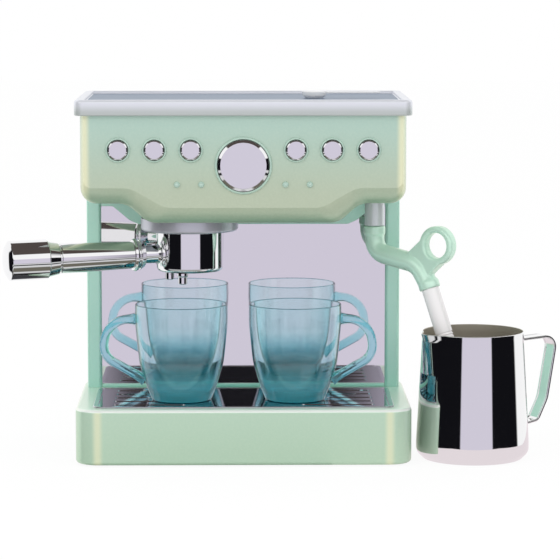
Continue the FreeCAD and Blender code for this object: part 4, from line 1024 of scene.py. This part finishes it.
# %% Swept forms
def swept(route, section, steps=8, scale=lambda share: 1):
    """Carry a section of (out, sideways) points along a route of (x, z) corners, in millimetres."""
    form = bmesh.new()
    points = softened(route, steps)
    walked = [0.0]
    for first, second in zip(points, points[1:]):
        walked.append(walked[-1] + (second - first).length)
    rings = []
    for i, here in enumerate(points):
        ahead = points[min(i + 1, len(points) - 1)] - here
        behind = here - points[max(i - 1, 0)]
        along = (ahead.normalized() + behind.normalized()).normalized()
        grown = scale(walked[i] / walked[-1])
        rings.append([form.verts.new(Vector((here.x - along.y * u * grown, v * grown,
                                             here.y + along.x * u * grown)) * MM) for u, v in section])
    return bridged(form, rings)


def round_section(radius, count):
    turns = [2 * math.pi * k / count for k in range(count)]
    return [(radius * math.cos(turn), radius * math.sin(turn)) for turn in turns]


def flat_section(thick, wide, corner):
    half, side = thick / 2, wide / 2
    return [tuple(point) for point in rounded_plan(-half, half, -side, side, corner, 5)]


def finely(route):
    """The same route with its straight parts divided, for a form that swells along its way."""
    pitch = 2.0
    points = softened(route, 10)
    fine = [points[0]]
    for first, second in zip(points, points[1:]):
        parts = max(1, round((second - first).length / pitch))
        fine += [first.lerp(second, k / parts) for k in range(1, parts + 1)]
    return [tuple(point) for point in fine]


print("points of a mug handle's section:", len(flat_section(6.2, 7.6, 2.9)))

# %% [markdown]
# The mugs are moulded in one piece with their handles, so the handle is joined to the wall and the
# dye runs through both. A handle like this swells where it meets the wall. The cup is turned from
# an outline that goes up the outside, over the rim and down the inside.

# %% Mugs
MUG_BACK = 43
MUG_OUTLINE = [(0, 1.0), (17.7, 1.0, 0.4), (18.3, 0, 0.4), (20.5, 0, 1.2), (24.2, 9, 26), (29.4, 26, 46),
               (32.2, 54, 90), (32.0, 66.2, 0.7), (31.2, 66.8, 0.5), (30.7, 66.0, 0.6), (31.0, 54, 90),
               (28.2, 27.0, 46), (23.0, 10.6, 20), (18.6, 3.6, 5), (0, 3.2)]
MUG_HANDLE = [(30.8, 56), (51.5, 55.5, 17), (54.5, 30, 13), (25.3, 13.7)]


def swollen_ends(share):
    """How much thicker the handle is, near its upper and its lower end."""
    return 1 + 0.45 * max(0, 1 - share / 0.12, (share - 0.86) / 0.14) ** 2


def mug(name, across, turned, body, node):
    lay = Matrix.Translation(at(across, MUG_BACK, TRAY_TOP + FIT)) @ Matrix.Rotation(turned, 4, "Z")
    cup = made(name, turned_mesh(MUG_OUTLINE, 6, 128), body, teal_clear, replaces=[node], slot="teal_clear",
               place=lay, crease=50)
    handle = swept(finely(MUG_HANDLE), flat_section(6.2, 7.6, 2.9), scale=swollen_ends)
    return carved(cup, cutter_from(handle, lay), way="UNION")


left_mug = mug("mug_left_clear", -43, math.pi, "left_mug", "mug_left")
right_mug = mug("mug_right_clear", 35.7, 0, "right_mug", "mug_right")
print("mug faces:", len(left_mug.data.polygons), len(right_mug.data.polygons))

# %% [markdown]
# The jug is spun from one sheet of steel, and the lip is then pressed out of its wall. So every
# ring of the wall is drawn round, and near the lip its points are moved outwards, more towards the
# rim. Inside, the steel is left satin.

# %% Milk jug
JUG_TURNED, JUG_TALL = 28, 88.6
JUG_OUTLINE = [(0, 0), (34, 0, 3), (39, 5, 6), (39, 12, 20), (36.5, 60, 300), (35.2, 84.4, 30),
               (35.3, JUG_TALL, 0.45), (34.2, JUG_TALL, 0.45), (34.15, 84.4, 30), (35.5, 60, 300),
               (38, 12, 20), (38, 6, 5), (34, 1, 3), (0, 1)]
LIP_REACH, LIP_STARTS, LIP_HALF_ANGLE = 5.3, 62, math.radians(24)


def lip_at(radius, up, turn):
    """How far a point of the jug's wall is pressed outwards, at a turn from the handle."""
    off = min(abs(turn - math.pi) / LIP_HALF_ANGLE, 1)
    lift = max(0.0, (up - LIP_STARTS) / (JUG_TALL - LIP_STARTS))
    return LIP_REACH * math.cos(off * math.pi / 2) ** 2 * lift ** 1.8 if radius > 30 else 0


def jug(lay):
    form = turned_mesh(JUG_OUTLINE, 7, 144, pressed=lip_at)
    piece = made("jug_spun", form, "jug", jug_steel, jug_inside, replaces=["jug_body"], slot="jug_steel",
                 place=lay, crease=50)
    for face in piece.data.polygons:
        out = Vector(face.center[:2]) - Vector(JUG[:2])
        inward = out.length > 1e-4 and out.normalized().dot(face.normal.xy) < -0.3
        if inward or (face.normal.z > 0.5 and face.center.z < 0.02):
            face.material_index = 1
    return piece


jug_lay = Matrix.Translation(JUG) @ Matrix.Rotation(math.radians(JUG_TURNED), 4, "Z")
print("jug faces:", len(jug(jug_lay).data.polygons))

# %% [markdown]
# The jug's handle is a strap of the same steel. Its two edges are rolled into beads, which makes
# thin steel stiff and safe to hold, so the section is a flat bar with a thicker end on each side.

# %% Jug strap
def jug_strap(lay):
    corner = [(0.9, -6.5, 0.6), (0.9, -5.0, 0.4), (0.45, -4.2, 0.3)]
    outside = corner + [(x, -y, r) for x, y, r in reversed(corner)]
    section = softened(outside + [(-x, y, r) for x, y, r in reversed(outside)], 3, closed=True)
    route = [(35.6, 80.5), (66.3, 82, 8), (58.2, 38, 20), (50.5, 23, 4), (39.05, 21)]
    return made("jug_strap", swept(route, section, steps=10), "jug", jug_steel, replaces=["jug_handle"],
                slot="jug_steel", place=lay)


print("strap faces:", len(jug_strap(jug_lay).data.polygons))

# %% [markdown]
# The steam wand is a fat bent pipe with a finger loop on its elbow. A moulding like this has no
# seams: the pipe, the loop, the web between them and the cuff flow into each other. They are
# overlapped, melted into one skin on a fine grid and smoothed, which rounds every inner corner.

# %% Steam wand
WAND_YAW, TUBE_LEAN, TUBE_FOOT_UP = -38, 21.4, 81
ARM_END = (46.5, 119.5)
ARM_ROUTE = [(0, 158.6), (0, 140.5, 11), (37, 134, 15), ARM_END]
WEB = [(24.5, 136.5), (45, 124.5), (64.6, 142.6), (62, 139.4), (58, 137), (53.4, 136.2), (48, 137.4),
       (44, 141), (42, 146), (42.2, 152)]
SOCKET = [(4.35, 158.9), (6.9, 158.9, 0.5), (6.9, 176.6, 0.8), (8.1, 177.6, 0.4), (8.1, 178.6), (4.35, 178.6)]


def in_wand_plane(x, z):
    return Matrix.Translation(Vector((x, 0, z)) * MM)


def placed(form, place):
    bmesh.ops.transform(form, matrix=place, verts=form.verts)
    return form


along_wand = Matrix.Translation(WAND) @ Matrix.Rotation(math.radians(WAND_YAW), 4, "Z")
at_arm_end = in_wand_plane(*ARM_END) @ Matrix.Rotation(math.radians(-TUBE_LEAN), 4, "Y")


def arm_parts():
    """The finger loop, the cuff, the web, the band at the top and the pin in the socket."""
    ring = turned_mesh([(8.7, -4.3, 2.2), (13.4, -4.3, 2.2), (13.4, 4.3, 2.2), (8.7, 4.3, 2.2)], 5, 72,
                       closed=True)
    cuff = turned_mesh([(0, -2.2), (7.4, -2.2, 0.8), (7.4, 2.6, 1.4), (6.2, 4.4), (0, 4.4)], 4, 64)
    web = bmesh.new()
    bridged(web, [[web.verts.new(Vector((x, y, z)) * MM) for x, z in WEB] for y in (-4.2, 4.2)])
    band = turned_mesh([(0, 152.4), (7.1, 152.4), (7.6, 153, 0.3), (7.6, 158.0, 0.5), (7, 158.6), (0, 158.6)],
                       4, 64)
    pin = turned_mesh([(0, 156.9), (4, 156.9), (4, 169.5, 0.5), (0, 169.5)], 3, 48)
    parts = [placed(ring, in_wand_plane(53.4, 148) @ Matrix.Rotation(math.radians(90), 4, "X")),
             placed(cuff, at_arm_end), web, band, pin]
    for part in parts:
        bmesh.ops.recalc_face_normals(part, faces=part.faces)
    return parts


def wand_arm():
    form = gathered(swept(ARM_ROUTE, round_section(6.8, 40)), *arm_parts())
    piece = made("wand_arm_moulding", form, "steam_wand", wand_mint, replaces=["wand_arm"], slot="pearl_mint",
                 place=along_wand, crease=180)
    melt = piece.modifiers.new("melt", "REMESH")
    melt.mode, melt.voxel_size, melt.use_smooth_shade = "VOXEL", 0.55 * MM, True
    calm = piece.modifiers.new("calm", "SMOOTH")
    calm.factor, calm.iterations = 0.5, 5
    return as_made(piece)


turned_piece("wand_socket", SOCKET, "machine", collar_silver, Matrix.Translation(WAND), "wand_collar",
             "silver_rings", closed=True, around=64)
print("wand arm faces:", len(wand_arm().data.polygons))

# %% [markdown]
# A clear tube, open at both ends, leads from the cuff down into the jug. A few shallow grooves run
# round its lower end. They are part of its outline, so a loop adds them on the way down.

# %% Wand tube
def tube():
    length = (ARM_END[1] - TUBE_FOOT_UP) / math.cos(math.radians(TUBE_LEAN))
    outer, bore = 6.0, 4.2
    neck = outer - 0.5
    profile = [(bore, -2.3), (outer, -2.3)]
    for n in (3, 2, 1, 0):
        start = -length + 2 * n
        profile += [(outer, start + 1.9, 0.15), (outer, start + 1.2, 0.15), (neck, start + 1.0, 0.1),
                    (neck, start + 0.2, 0.1)]
    profile += [(neck, -length, 0.2), (bore, -length, 0.2)]
    return turned_piece("wand_tube_clear", profile, "steam_wand", rose_clear, along_wand @ at_arm_end,
                        "wand_tube", "clear", closed=True, around=64)


print("tube faces:", len(tube().data.polygons))

# %% [markdown]
# A small clear measuring spoon lies in the recess of the lid. Its bowl is turned, and a straight
# flat handle is joined to the bowl's rim, as both come out of one mould.

# %% Spoon
def spoon():
    lay = Matrix.Translation(at(49.5, 66, LID_TOP - 2 + FIT))
    bowl = turned_mesh([(0, 0), (6, 0, 1.5), (8.2, 2, 2), (8.8, 4.6, 0.3), (7.9, 4.6, 0.3), (7.2, 2.4, 1.5),
                        (5.6, 1, 1), (0, 1)], 5, 72)
    piece = made("spoon_clear", bowl, "lid_spoon", clear_with_painted_highlight, replaces=["spoon"], slot="clear", place=lay)
    handle = swept(finely([(8.0, 4.0), (30, 4.0), (45.5, 4.0)]), flat_section(1.2, 4.4, 0.5))
    return carved(piece, cutter_from(handle, lay), way="UNION")


print("spoon faces:", len(spoon().data.polygons))

# %% [markdown]
# Every CAD node that still shows gets its own finish. These are the parts seen from behind, from
# below or between the larger pieces.

# %% Finishes for the carried-over nodes
CARRIED = {
    "mirror_panel": mirror, "back_cover": rear_mint, "base_plate": rear_mint, "battery_cover": rear_mint,
    "rubber_feet": dark_rubber, "batteries": cell_sleeve, "battery_contacts": zinc,
    "battery_cover_screw": zinc, "base_screws": zinc, "back_screws": zinc,
    "circuit_board": board_green, "switches": black_plastic, "speaker": black_plastic,
    "wire_loom": black_plastic,
}
for node, finish in CARRIED.items():
    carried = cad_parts[node]
    carried.data.materials.clear()
    carried.data.materials.append(finish)
print("carried nodes:", len(CARRIED))
